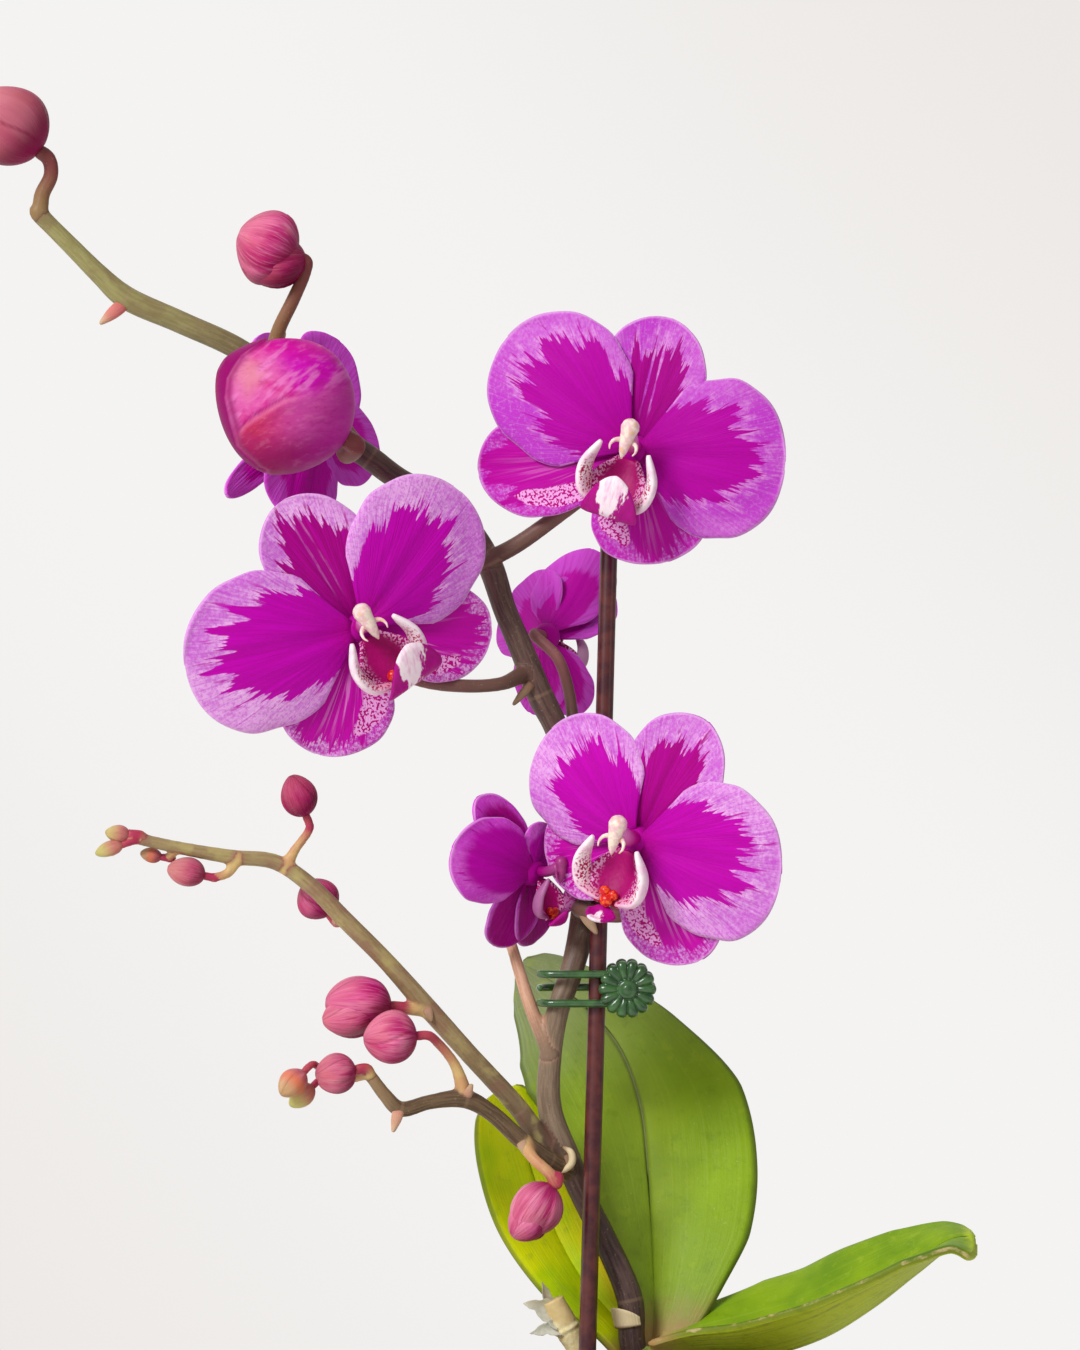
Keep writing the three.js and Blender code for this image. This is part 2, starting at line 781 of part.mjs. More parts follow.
// Crown: the short stem that the leaves and the spike grow from
const CROWN = [
  [5.5, 60, 3, 6],
  [5.5, 68, 3, 8.5],
  [5.5, 75, 3, 9],
  [5.6, 80, 3, 6.8],
  [6, 83, 3.4, 3.4],
];
const crown = limbOf(CROWN, 10);
const clearCrown = limbOf(thicker(CROWN, GAP), 10);

// Leaves: the midrib, each point with the half widths to its left and right and how far each half is
// folded up from flat, in degrees; facing is the side that the upper face looks to, and curl is how
// much further the right half's margin is rolled up, in degrees, which eases off towards the tip.
const LEAVES = {
  leaf_tall: {
    facing: [0.1, -1, 0.35],
    midrib: [
      [6.2, 82, 5, 7, 7, 50],
      [6.6, 92, 8, 8, 14, 42],
      [6.2, 103, 12, 10, 20.5, 32],
      [5.4, 117.4, 18, 14, 22.5, 20],
      [4, 131, 23, 20, 21, 12],
      [0, 142.5, 27, 22, 13.5, 8],
      [-7, 151, 30, 19, 8.4, 6],
      [-15, 157, 32.5, 11, 5.6, 6],
      [-19.6, 159.6, 34, 4.5, 3, 4],
    ],
  },
  leaf_left: {
    facing: [0.35, -1, 0.45],
    midrib: [
      [4.4, 80, 6, 6, 5, 46],
      [-1, 88, 9, 8, 7, 40],
      [-8, 96.6, 12, 11, 10, 30],
      [-14.4, 108.6, 15.6, 13, 12, 22],
      [-18.6, 120.6, 18.6, 12, 11, 16],
      [-20.6, 129.4, 20.4, 9.5, 8, 12],
      [-21.6, 135.2, 21.6, 4, 3.6, 10],
    ],
  },
  leaf_right: {
    facing: [-0.1, -0.28, 1],
    curl: 25,
    midrib: [
      [7.4, 80.6, 0.6, 6, 6, 50],
      [16, 81.6, -2, 10, 9, 46],
      [28, 82, -5, 15, 13, 40],
      [40, 84, -8, 18, 16, 36],
      [50, 89.4, -10, 18, 16, 32],
      [59, 97, -11.4, 14, 12, 28],
      [66, 103.4, -12, 9, 8, 20],
      [70.4, 103, -12.2, 4, 3.6, 6],
    ],
  },
};

function leaf({ facing, midrib, curl = 0 }, extra = 0) {
  const curve = new THREE.CatmullRomCurve3(
    midrib.map((row) => at(row)),
    false,
    "centripetal",
  );
  const face = new THREE.Vector3(...facing).normalize();
  const value = (s, column) => {
    const spot = s * (midrib.length - 1);
    const low = Math.min(Math.floor(spot), midrib.length - 2);
    return THREE.MathUtils.lerp(midrib[low][column], midrib[low + 1][column], spot - low);
  };
  return sheet(
    (s, t) => {
      const middle = curve.getPoint(s);
      const along = curve.getTangent(s);
      const across = new THREE.Vector3().crossVectors(along, face).normalize();
      const up = new THREE.Vector3().crossVectors(across, along);
      const half = (value(s, t < 0 ? 3 : 4) + extra) * Math.abs(t);
      const rolled = t > 0 ? curl * t * (1 - Math.pow(s, 4)) : 0;
      const fold = THREE.MathUtils.degToRad(value(s, 5) * (1 - 0.35 * Math.abs(t)) + rolled);
      return middle
        .addScaledVector(along, extra * (2 * s - 1))
        .addScaledVector(across, Math.sign(t) * half * Math.cos(fold))
        .addScaledVector(up, half * Math.sin(fold));
    },
    LEAF.rows,
    LEAF.columns,
    LEAF.thickness + 2 * extra,
  );
}

const leafSolids = {};
const clearLeaves = {};
for (const [name, form] of Object.entries(LEAVES)) {
  leafSolids[name] = leaf(form);
  clearLeaves[name] = leaf(form, GAP);
}

// Roots that leave the crown and dive into the bark, and the cut stump of an older spike
const ROOTS = {
  root_front: [
    [1.5, 72, -4, 2.2],
    [-1.4, 78.4, -15, 2.2],
    [-4, 77.6, -23, 2.1],
    [-6, 70, -29, 2],
    [-7, 60, -31, 1.6],
  ],
  root_right: [
    [11, 73, -1, 2.3],
    [19, 78.4, -8, 2.2],
    [26, 76.4, -14, 2.1],
    [30, 69, -15, 2],
    [31, 59, -15, 1.6],
  ],
  root_back: [
    [10, 73, 8, 2.3],
    [15, 79.4, 17, 2.2],
    [17, 78, 25, 2.1],
    [17, 70, 29, 2],
    [17, 60, 30, 1.6],
  ],
  root_left: [
    [0, 73, 6, 2.2],
    [-9, 79.4, 13, 2.1],
    [-18, 78.4, 17, 2.1],
    [-25, 72, 19, 2],
    [-27, 62, 20, 1.6],
  ],
};
const STUMP = [
  [-6.4, 72, -3, 2.4],
  [-8.4, 82.4, -3.4, 2.4],
  [-11, 87.4, -3.8, 2.8],
  [-13.4, 92.4, -4.2, 2.3],
];

// Stake: a straight rod, a little in front of the spike at the bark and beside it at the clip
const STAKE_FOOT = [-8.4, 12, -13];
const STAKE_TOP = [-2, 251, 6.4];
const stakeWith = (extra) =>
  limb([at(STAKE_FOOT), at(STAKE_TOP)], [STAKE.radius + extra, STAKE.radius + extra], STAKE.sides);

// Pot: thick walls, a plain band round the rim, and four holes in the floor. Each pair is a radius
// and a height.
function turned(profile, sides) {
  return solid(
    new THREE.LatheGeometry(
      profile.map(([radius, height]) => new THREE.Vector2(radius, height)),
      sides,
    ).rotateX(Math.PI / 2),
  );
}
const bandFoot = POT.height - POT.bandHeight;
const radiusAt = (height) =>
  THREE.MathUtils.lerp(POT.footRadius, POT.rimRadius - POT.bandProud, height / POT.height);
let pot = turned(
  [
    [0, 0],
    [POT.footRadius, 0],
    [radiusAt(2) + 0.6, 2],
    [radiusAt(bandFoot), bandFoot],
    [radiusAt(bandFoot) + POT.bandProud, bandFoot + 1.6],
    [POT.rimRadius, POT.height - 1.5],
    [POT.rimRadius - 1.4, POT.height],
    [POT.rimRadius - POT.wall + 0.6, POT.height],
    [POT.rimRadius - POT.wall - 0.6, POT.height - 1.6],
    [radiusAt(bandFoot) - POT.wall, bandFoot],
    [radiusAt(POT.floor) - POT.wall, POT.floor],
    [0, POT.floor],
  ],
  POT.sides,
);
for (let i = 0; i < DRAIN.count; i++) {
  const angle = ((i + 0.5) / DRAIN.count) * Math.PI * 2;
  const hole = new THREE.CylinderGeometry(DRAIN.radius, DRAIN.radius, POT.floor * 3, 8)
    .rotateX(Math.PI / 2)
    .translate(Math.cos(angle) * DRAIN.ring, Math.sin(angle) * DRAIN.ring, 0);
  pot = pot.subtract(solid(hole));
}

// Bark: a filling with chips over its mounded top. Each chip is a box with its corners pushed about.
const barkEdge = POT.height - BARK.edgeBelowRim;
const innerAt = (height) => radiusAt(height) - POT.wall - GAP;
const filling = turned(
  [
    [0, POT.floor + GAP],
    [innerAt(POT.floor + GAP), POT.floor + GAP],
    [innerAt(bandFoot), bandFoot],
    [innerAt(bandFoot) + 0.3, barkEdge - 2],
    [24, barkEdge + 3],
    [0, BARK.moundTop - 5],
  ],
  POT.sides,
);
const chips = [];
for (let i = 0; i < BARK.chips; i++) {
  const ring = Math.sqrt((i + 0.5) / BARK.chips);
  const angle = i * GOLDEN;
  const reach = ring * (innerAt(barkEdge) - 5.5);
  const long = BARK.chipLength * between(0.65, 1);
  const box = new THREE.BoxGeometry(long, long * between(0.5, 0.8), long * between(0.3, 0.5));
  const corners = box.attributes.position;
  for (let k = 0; k < corners.count; k++) {
    const bump = (axis) => 0.82 + 0.18 * Math.sin(corners[axis](k) * 3.1 + i * 1.7);
    corners.setXYZ(
      k,
      corners.getX(k) * bump("getY"),
      corners.getY(k) * bump("getZ"),
      corners.getZ(k) * bump("getX"),
    );
  }
  box
    .rotateX(between(-0.5, 0.5))
    .rotateY(between(-0.5, 0.5))
    .rotateZ(between(0, Math.PI))
    .translate(
      Math.cos(angle) * reach,
      Math.sin(angle) * reach,
      THREE.MathUtils.lerp(BARK.moundTop - 3, barkEdge, ring * ring),
    );
  chips.push(solid(box));
}
const inside = turned(
  [
    [0, POT.floor + GAP],
    [innerAt(POT.floor + GAP), POT.floor + GAP],
    [innerAt(bandFoot), bandFoot],
    [innerAt(bandFoot), POT.height + 12],
    [0, POT.height + 12],
  ],
  POT.sides,
);
let bark = join([filling, ...chips]).intersect(inside);

const clearStump = limbOf(thicker(STUMP, GAP), 8);
const rootSolids = Object.entries(ROOTS).map(([name, rows]) => [
  name,
  limbOf(rows, 5).subtract(clearCrown),
  limbOf(thicker(rows, 1.5 * GAP), 5),
]);
for (const cutter of [
  stakeWith(GAP),
  clearCrown,
  clearStump,
  ...rootSolids.map((root) => root[2]),
  limbOf(thicker(STEM.slice(0, 3), GAP), SPIKE.sides),
])
  bark = bark.subtract(cutter);

add("pot", pot, COLOUR.pot, 0.6);
add("bark", largest(bark), COLOUR.bark, 0.95);
add("stake", stakeWith(0), COLOUR.stake, 0.35);
add("crown", crown, COLOUR.crown, 0.6);
add("spike", largest(spike.subtract(clearCrown)), COLOUR.spike, 0.6);
add("old_spike_stump", limbOf(STUMP, 8), COLOUR.stump, 0.7);
for (const [name, made] of rootSolids) add(name, largest(made), COLOUR.root, 0.8);

const clearSpike = limbOf(thicker(STEM.slice(0, 4), GAP), SPIKE.sides);
let earlier = [clearCrown, clearSpike, stakeWith(GAP), clearStump];
for (const name of ["leaf_right", "leaf_left", "leaf_tall"]) {
  const trimmed = earlier.reduce((left, cutter) => left.subtract(cutter), leafSolids[name]);
  add(name, largest(trimmed), name === "leaf_left" ? COLOUR.paleLeaf : COLOUR.leaf, 0.45);
  earlier = [...earlier, clearLeaves[name]];
}

// Clip: two jaws on one upright pin, each with a daisy to press on; the front jaw has two prongs
// round the spike and the stake, and the rear jaw has one between them
const [hingeX, hingeZ] = CLIP.hinge;

// A disc of puffed petals: its rims step in and out, and its middle is a raised button.
function daisy(side) {
  const around = CLIP.petals * 2;
  const ring = (radius, depth, proud) =>
    Array.from({ length: around }, (_, k) => {
      const peak = k % 2 === 0;
      const angle = (k / around) * Math.PI * 2;
      const reach = radius * (peak ? 1 : 1 - 0.12 * proud);
      return new THREE.Vector3(
        hingeX + CLIP.padOffset + reach * Math.cos(angle),
        side * (4.4 + depth - (peak ? 0 : 0.55 * proud)),
        hingeZ + reach * Math.sin(angle),
      );
    });
  return skin([
    ring(CLIP.padRadius * 0.9, 0, 0),
    ring(CLIP.padRadius, 0.7, 1),
    ring(CLIP.padRadius * 0.86, CLIP.padDepth, 1),
    ring(CLIP.padRadius * 0.36, CLIP.padDepth * 0.9, 0.4),
    ring(CLIP.padRadius * 0.28, CLIP.padDepth * 1.35, 0),
  ]);
}

const prong = (side, height) =>
  limb(
    [
      [hingeX + 1.2, side * 4.6],
      [-3, side * 4.5],
      [-7, side * 4.25],
      [-11.6, side * 4.1],
      [-14.4, side * 3.4],
      [-16, side * 1.4],
      [-15.9, side * -0.4],
    ].map(([x, y]) => new THREE.Vector3(x, y, hingeZ + height)),
    [1, 1, 1, 1, 1, 0.94, 0.75].map((share) => share * CLIP.rodRadius),
    6,
  );

// A round piece on the hinge's axis, between two heights above the hinge's middle
function upright(radius, low, high) {
  return solid(
    new THREE.CylinderGeometry(radius, radius, high - low, 12)
      .rotateX(Math.PI / 2)
      .translate(hingeX, 0, hingeZ + (low + high) / 2),
  );
}
const knuckle = (low, high) => upright(CLIP.barrelRadius, low, high);
const arm = (side, low, high) =>
  solid(
    new THREE.BoxGeometry(1.4, 4.6, high - low).translate(
      hingeX + 0.3,
      side * 2.6,
      hingeZ + (low + high) / 2,
    ),
  );
const pinHole = upright(CLIP.pinRadius + CLIP.pinPlay, -10, 10);
const clipFront = join([
  daisy(-1),
  prong(-1, 2.9),
  prong(-1, -2.9),
  knuckle(2.2, 3.6),
  knuckle(-3.6, -1.5),
  arm(-1, 2.2, 3.6),
  arm(-1, -3.6, -1.5),
]).subtract(pinHole);
const clipRear = join([
  daisy(1),
  prong(1, 0),
  knuckle(-1.2, CLIP.springFoot - GAP),
  arm(1, -1.2, CLIP.springFoot - GAP),
]).subtract(pinHole);

// The spring: two turns of wire on the pin, with a leg towards each daisy
function spring() {
  const perTurn = 10;
  const pitch = 0.5;
  const leg = 3;
  const coil = Array.from({ length: CLIP.springTurns * perTurn + 1 }, (_, k) => {
    const angle = (k / perTurn) * Math.PI * 2;
    return new THREE.Vector3(
      hingeX + CLIP.springRadius * Math.cos(angle),
      CLIP.springRadius * Math.sin(angle),
      hingeZ + CLIP.springFoot + CLIP.wireRadius + (pitch * k) / perTurn,
    );
  });
  const front = coil[0].clone().setY(-leg);
  const rear = coil[coil.length - 1].clone().setY(leg);
  const wire = [front, ...coil, rear];
  return limb(wire, wire.map(() => CLIP.wireRadius), 4);
}
const pin = upright(CLIP.pinRadius, -3.8, 3.8);
add("clip_front", clipFront, COLOUR.clip, 0.3);
add("clip_rear", clipRear, COLOUR.clip, 0.3);
add("clip_pin", pin, COLOUR.steel, 0.3, 0.9);
add("clip_spring", spring(), COLOUR.steel, 0.3, 0.9);

export default plant;
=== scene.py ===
# %% [markdown]
# # A potted miniature moth orchid
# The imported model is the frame. Every piece below is laid over one of its nodes and keeps that node's
# form, with finer outlines, markings and finishes. Nothing else is read from disk.

import math

import bpy
import numpy as np
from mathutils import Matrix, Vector, kdtree


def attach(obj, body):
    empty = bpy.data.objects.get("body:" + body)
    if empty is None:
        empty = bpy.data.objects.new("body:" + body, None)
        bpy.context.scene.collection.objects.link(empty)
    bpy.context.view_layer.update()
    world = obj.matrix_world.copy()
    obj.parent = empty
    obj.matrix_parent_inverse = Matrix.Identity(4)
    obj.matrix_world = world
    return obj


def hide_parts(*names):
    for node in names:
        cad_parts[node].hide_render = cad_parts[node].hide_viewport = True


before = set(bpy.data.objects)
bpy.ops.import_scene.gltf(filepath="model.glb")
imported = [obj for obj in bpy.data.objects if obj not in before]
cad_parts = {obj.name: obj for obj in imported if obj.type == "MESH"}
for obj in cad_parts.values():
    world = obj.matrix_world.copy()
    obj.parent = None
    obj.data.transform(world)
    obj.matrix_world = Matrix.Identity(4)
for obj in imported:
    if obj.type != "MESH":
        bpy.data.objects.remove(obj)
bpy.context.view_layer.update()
MM = 0.001
SEED = 11
draw = np.random.default_rng(SEED)

# %% [markdown]
# The plant is laid out as it looks from the front, so a point is given as across, up and depth, in
# millimetres: where it shows against the upright plane through the pot's axis, and how far it lies
# behind that plane. One function turns such points into places. The camera stands where that
# function puts the eye, so the picture and the layout agree without any fitting.

# %% Places and the camera
EYE = {"distance": 1400.0, "across": -16.0, "up": 217.4, "shown_height": 270.0}
SENSOR = 36  # the height of the camera's sensor, in millimetres


def at(points):
    """The places of rows that begin with across, up and depth."""
    across, up, depth = np.moveaxis(np.asarray(points, float)[..., :3], -1, 0)
    grown = 1 + depth / EYE["distance"]
    x = EYE["across"] + (across - EYE["across"]) * grown
    z = EYE["up"] + (up - EYE["up"]) * grown
    return np.stack([x, depth, z], axis=-1)


def placed(name, data):
    """A new object in the scene."""
    made = bpy.data.objects.new(name, data)
    bpy.context.scene.collection.objects.link(made)
    return made


camera = bpy.data.cameras.new("camera")
camera.sensor_fit = "VERTICAL"
camera.sensor_height = SENSOR
camera.lens = SENSOR * EYE["distance"] / EYE["shown_height"]
camera.clip_end = 20  # metres
eye = placed("camera", camera)
eye.location = (EYE["across"] * MM, -EYE["distance"] * MM, EYE["up"] * MM)
eye.rotation_euler = (math.pi / 2, 0, 0)
bpy.context.scene.camera = eye
bpy.context.scene.view_settings.view_transform = "Standard"
print("lens", round(camera.lens, 1), "mm")

# %% [markdown]
# Each finish is a small tree of shader nodes. Written out node by node it would be hard to read, so a
# socket is wrapped in a class that knows the usual signs: an expression such as 1 - mask adds its
# Math nodes by itself. Colours are mixed with Mix nodes, because a Math node would turn them grey.

# %% A socket that can be reckoned with
class Value:
    def __init__(self, finish, socket):
        self.finish, self.socket = finish, socket

    def maths(self, operation, *values):
        return self.finish.node("ShaderNodeMath", {"operation": operation}, dict(enumerate(values)))

    def __add__(self, other):
        return self.maths("ADD", self, other)

    def __sub__(self, other):
        return self.maths("SUBTRACT", self, other)

    def __rsub__(self, other):
        return self.maths("SUBTRACT", other, self)

    def __mul__(self, other):
        return self.maths("MULTIPLY", self, other)

    def __pow__(self, other):
        return self.maths("POWER", self, other)

    def __abs__(self):
        return self.maths("ABSOLUTE", self)

    def most(self, other):
        return self.maths("MAXIMUM", self, other)

    def between(self, low, high):
        """0 below low, 1 above high, and a soft rise between them."""
        sockets = {"Value": self, "From Min": low, "From Max": high}
        return self.finish.node("ShaderNodeMapRange", {"interpolation_type": "SMOOTHSTEP"}, sockets)

    def under(self, *layers):
        """This colour with others over it, each of them a mask and the colour that it lets through."""
        colour = self
        for mask, shade in layers:
            colour = self.finish.mix(mask, colour, shade)
        return colour

    __radd__, __rmul__ = __add__, __mul__


# %% A finish, and the few nodes that all of them use
def tint(red, green, blue):
    """A colour as a screen shows it, from 0 to 255, as the shader wants it."""
    shares = [part / 255 for part in (red, green, blue)]
    return tuple(((s + 0.055) / 1.055) ** 2.4 if s > 0.04 else s / 12.92 for s in shares) + (1,)


class Finish:
    def __init__(self, name, holder=None):
        self.material = holder or bpy.data.materials.new(name)
        self.material.use_nodes = True
        self.tree = self.material.node_tree
        self.shader = self.tree.nodes.get("Principled BSDF")

    def node(self, kind, settings=None, sockets=None, output=0):
        made = self.tree.nodes.new(kind)
        for key, setting in (settings or {}).items():
            setattr(made, key, setting)
        for key, given in (sockets or {}).items():
            self.feed(made.inputs[key], given)
        return Value(self, made.outputs[output])

    def feed(self, socket, given):
        """Links a value to the socket, or sets it to a number or to a colour from 0 to 255."""
        if isinstance(given, Value):
            self.tree.links.new(given.socket, socket)
        else:
            socket.default_value = tint(*given) if isinstance(given, tuple) else given

    def field(self, name):
        return self.node("ShaderNodeAttribute", {"attribute_name": name}, output="Fac")

    def fields(self, *names):
        return [self.field(name) for name in names]

    def place(self):
        """Where the surface is, in millimetres."""
        where = self.node("ShaderNodeTexCoord", output="Object")
        sockets = {"Vector": where, "Scale": 1 / MM}
        return self.node("ShaderNodeVectorMath", {"operation": "SCALE"}, sockets)

    def noise(self, vector, scale=1.0, detail=2.0, roughness=0.5):
        """Noise over a vector, or over three values that make one."""
        if isinstance(vector, tuple):
            vector = self.node("ShaderNodeCombineXYZ", None, dict(zip("XYZ", vector)))
        sockets = {"Vector": vector, "Scale": scale, "Detail": detail, "Roughness": roughness}
        return self.node("ShaderNodeTexNoise", None, sockets)

    def clouds(self, *settings):
        """Noise over the surface's own places."""
        return self.noise(self.place(), *settings)

    def mix(self, mask, first, second):
        return self.node("ShaderNodeMix", {"data_type": "RGBA"}, {0: mask, 6: first, 7: second}, 2)

    def wear(self, colour, roughness, relief=None, depth=0.1, **constants):
        """Joins the colour, the roughness and a relief in millimetres to the shader."""
        self.feed(self.shader.inputs["Base Color"], colour)
        self.feed(self.shader.inputs["Roughness"], roughness)
        if relief is not None:
            sockets = {"Height": relief, "Distance": depth * MM, "Strength": 1.0}
            self.feed(self.shader.inputs["Normal"], self.node("ShaderNodeBump", None, sockets))
        for key, constant in constants.items():
            self.shader.inputs[key.replace("_", " ")].default_value = constant
        return self.material


# %% [markdown]
# The light is that of a bright room with a window at the upper left. The wall behind the plant is
# nearly white. The side of the room that the flowers look into and the one on the right are darker,
# which keeps the colours deep and gives every stem a shaded side. Two large soft lamps give the forms
# their shape and the glossy pieces their highlights. The floor is a pale disc under the pot.

# %% The room's light, the lamps and the floor
room = Finish("pale_room", bpy.data.worlds.new("pale_room"))
bpy.context.scene.world = room.material
way = room.node("ShaderNodeTexCoord", output="Generated")
to_right, to_back, upwards = (
    room.node("ShaderNodeSeparateXYZ", None, {"Vector": way}, output=axis) for axis in "XYZ"
)
slant = abs(to_right * 11 + upwards * 9 + 0.1)
wall = room.mix(slant.between(0.3, 1.9), (244, 243, 242), (236, 232, 229))
room_colour = wall.under(
    (to_back.between(0.35, -0.35), (190, 187, 186)),
    (to_right.between(0.12, 0.75) * 0.9, (138, 134, 134)),
    (upwards.between(-0.1, -0.6) * 0.8, (150, 146, 145)),
)
room.feed(room.tree.nodes["Background"].inputs["Color"], room_colour)
LIT_SPOT = Vector((-0.02, 0, 0.2))


def lamp(name, place, size, watts):
    light = bpy.data.lights.new(name, "AREA")
    light.shape, light.size, light.energy = "DISK", size, watts
    holder = placed(name, light)
    holder.location = place
    holder.rotation_euler = (LIT_SPOT - Vector(place)).to_track_quat("-Z", "Y").to_euler()


lamp("window", (-1.0, -1.2, 1.25), size=0.7, watts=28)
lamp("opposite_wall", (1.3, -0.7, 0.7), size=1.0, watts=1.5)
bpy.ops.mesh.primitive_circle_add(vertices=96, radius=0.7, fill_type="NGON")
floor = bpy.context.object
floor.name = "floor"
paper = Finish("floor_paper")
paper_colour = paper.mix(paper.clouds(0.02), (238, 237, 234), (246, 245, 242))
floor.data.materials.append(paper.wear(paper_colour, 0.8))
print("lamps", len(bpy.data.lights))

# %% [markdown]
# Most of the plant is of two shapes: a thin blade, such as a petal or a leaf, and a round limb, such
# as a stem or a root. Both are grids of points worked out with numpy, which is quick and gives every
# point its own fields, such as how far along the blade it lies. The finishes read those fields, so a
# marking follows the petal that it is on.

# %% Meshes from points
def mesh_of(name, parts):
    """One mesh from the points and the faces of all the parts."""
    faces, start = [], 0
    for part in parts:
        faces += [[i + start for i in face] for face in part[1]]
        start += len(part[0])
    mesh = bpy.data.meshes.new(name)
    mesh.from_pydata(np.concatenate([part[0] for part in parts]) * MM, [], faces)
    return mesh


def set_fields(mesh, fields):
    for key, values in fields.items():
        mesh.attributes.new(key, "FLOAT", "POINT").data.foreach_set("value", values.astype(np.float32))


def mark(part, **values):
    """The part, with the same values at all of its points."""
    part[2].update({key: np.full(len(part[0]), value) for key, value in values.items()})
    return part


def piece(name, parts, finish, body="plant", replaces=()):
    """One object from parts, each of them points, faces and fields."""
    mesh = mesh_of(name, parts)
    keys = dict.fromkeys(key for part in parts for key in part[2])
    set_fields(mesh, {
        key: np.concatenate([part[2].get(key, np.zeros(len(part[0]))) for part in parts]) for key in keys
    })
    mesh.shade_smooth()
    return dress(name, mesh, finish, body, replaces)


def dress(name, mesh, finish, body="plant", replaces=()):
    mesh.materials.clear()
    mesh.materials.append(finish)
    made = placed(name, mesh)
    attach(made, body)
    if replaces:
        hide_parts(*replaces)
    return made


def fine(name, parts, finish, body="plant"):
    """The finer form of the frame's node of that name."""
    return piece(f"{name}_fine", parts, finish, body, [name])


def baked(holder):
    """The mesh that an object's modifiers make."""
    return bpy.data.meshes.new_from_object(holder.evaluated_get(bpy.context.evaluated_depsgraph_get()))


def angles(count):
    """count angles evenly round a full turn."""
    return np.linspace(0, 2 * math.pi, count, endpoint=False)


def arch(share, power=1.0):
    """0 where the share is 0 or 1 and most between them, blunter where the power is lower."""
    return np.sin(math.pi * share) ** power


def bump(distance, width=1.0):
    """1 at no distance, and softly down to nothing past the width."""
    return np.exp(-((distance / width) ** 2))


def grid(rows, columns):
    """s from 0 to 1 along and t from -1 to 1 across."""
    return np.meshgrid(np.linspace(0, 1, rows + 1), np.linspace(-1, 1, columns + 1), indexing="ij")


def reached(start, *ways):
    """The places that lie from start by some amount in each direction."""
    for amount, direction in ways:
        start = start + np.asarray(amount, float)[..., None] * direction
    return start


def unit(vectors):
    """The same directions, one long."""
    return vectors / np.maximum(np.linalg.norm(vectors, axis=-1, keepdims=True), 1e-12)


def quads(rows, columns, wide, start=0, flip=False):
    """The faces of a grid that is wide points across, and closes on itself where it has that many columns."""
    made = []
    for r in range(rows):
        for c in range(columns):
            a, b = start + r * wide + c, start + r * wide + (c + 1) % wide
            face = [a, b, b + wide, a + wide]
            made.append(face[::-1] if flip else face)
    return made


def blade(surface, rows, columns, thickness, rim=0.35, fields=None):
    """A thin closed blade over surface(s, t), with s from 0 to 1 along it and t from -1 to 1 across."""
    s, t = grid(rows, columns)
    middle = surface(s, t)
    over, ahead = np.gradient(middle, axis=1), np.gradient(middle, axis=0)
    size = np.linalg.norm(over, axis=-1) * np.linalg.norm(ahead, axis=-1)
    square = np.cross(over, ahead) / np.maximum(size, 1e-12)[..., None]
    # near 1 where the two ways lie almost along each other, so that the middle's direction takes over
    doubt = (1 - np.linalg.norm(square, axis=-1, keepdims=True)) ** 2
    normal = unit(square + doubt * unit(square[:, columns // 2 : columns // 2 + 1]))
    edge = np.minimum((1 - np.abs(t)) * columns / 2, np.minimum(s, 1 - s) * rows)
    half = thickness / 2 * (rim + (1 - rim) * np.clip(edge / 2, 0, 1) ** 0.5)
    shift = normal * half[..., None]
    points = np.concatenate([(middle + shift).reshape(-1, 3), (middle - shift).reshape(-1, 3)])
    wide, count = columns + 1, (rows + 1) * (columns + 1)
    faces = quads(rows, columns, wide) + quads(rows, columns, wide, count, flip=True)
    rim_line = [*range(columns), *[r * wide + columns for r in range(rows)]]
    rim_line += [*range(rows * wide + columns, rows * wide, -1), *[r * wide for r in range(rows, 0, -1)]]
    for a, b in zip(rim_line, rim_line[1:] + rim_line[:1]):
        faces.append([a, count + a, count + b, b])
    given = {key: np.tile(np.broadcast_to(f, s.shape).ravel(), 2) for key, f in (fields or {}).items()}
    given.update(along=np.tile(s.ravel(), 2), across=np.tile(t.ravel(), 2))
    given["front"] = np.repeat([1.0, 0.0], count)
    return points, faces, given


# %% Smooth lines and limbs
def curve(points, count):
    """count places on a smooth line through the points, evenly from point to point."""
    p = np.asarray(points, float)
    p = np.vstack([2 * p[0] - p[1], p, 2 * p[-1] - p[-2]])
    spans = len(p) - 3
    spot = np.linspace(0, spans, count)
    low = np.minimum(spot.astype(int), spans - 1)
    w = (spot - low)[:, None]
    a, b, c, d = p[low], p[low + 1], p[low + 2], p[low + 3]

    def gap(u, v):
        return np.maximum(np.sum((v - u) ** 2, axis=1, keepdims=True) ** 0.25, 1e-9)

    ab, bc, cd = gap(a, b), gap(b, c), gap(c, d)
    first = ((b - a) / ab - (c - a) / (ab + bc) + (c - b) / bc) * bc
    last = ((c - b) / bc - (d - b) / (bc + cd) + (d - c) / cd) * bc
    cubic = 2 * (b - c) + first + last
    return b + first * w + (3 * (c - b) - 2 * first - last) * w**2 + cubic * w**3


def rings(middles, radii, sides, flat=1.0, up=(0.3, -1, 0.2)):
    """Rings round a line, each set square to it, turning as little as they can."""
    along = unit(np.gradient(middles, axis=0))
    normal = np.array(up, float)
    angle = angles(sides)
    made = []
    for middle, direction, radius in zip(middles, along, np.broadcast_to(radii, len(middles))):
        normal = unit(normal - direction * np.dot(normal, direction))
        side = np.cross(direction, normal)
        round_ = np.cos(angle)[:, None] * normal * flat + np.sin(angle)[:, None] * side
        made.append(middle + radius * round_)
    return np.array(made)


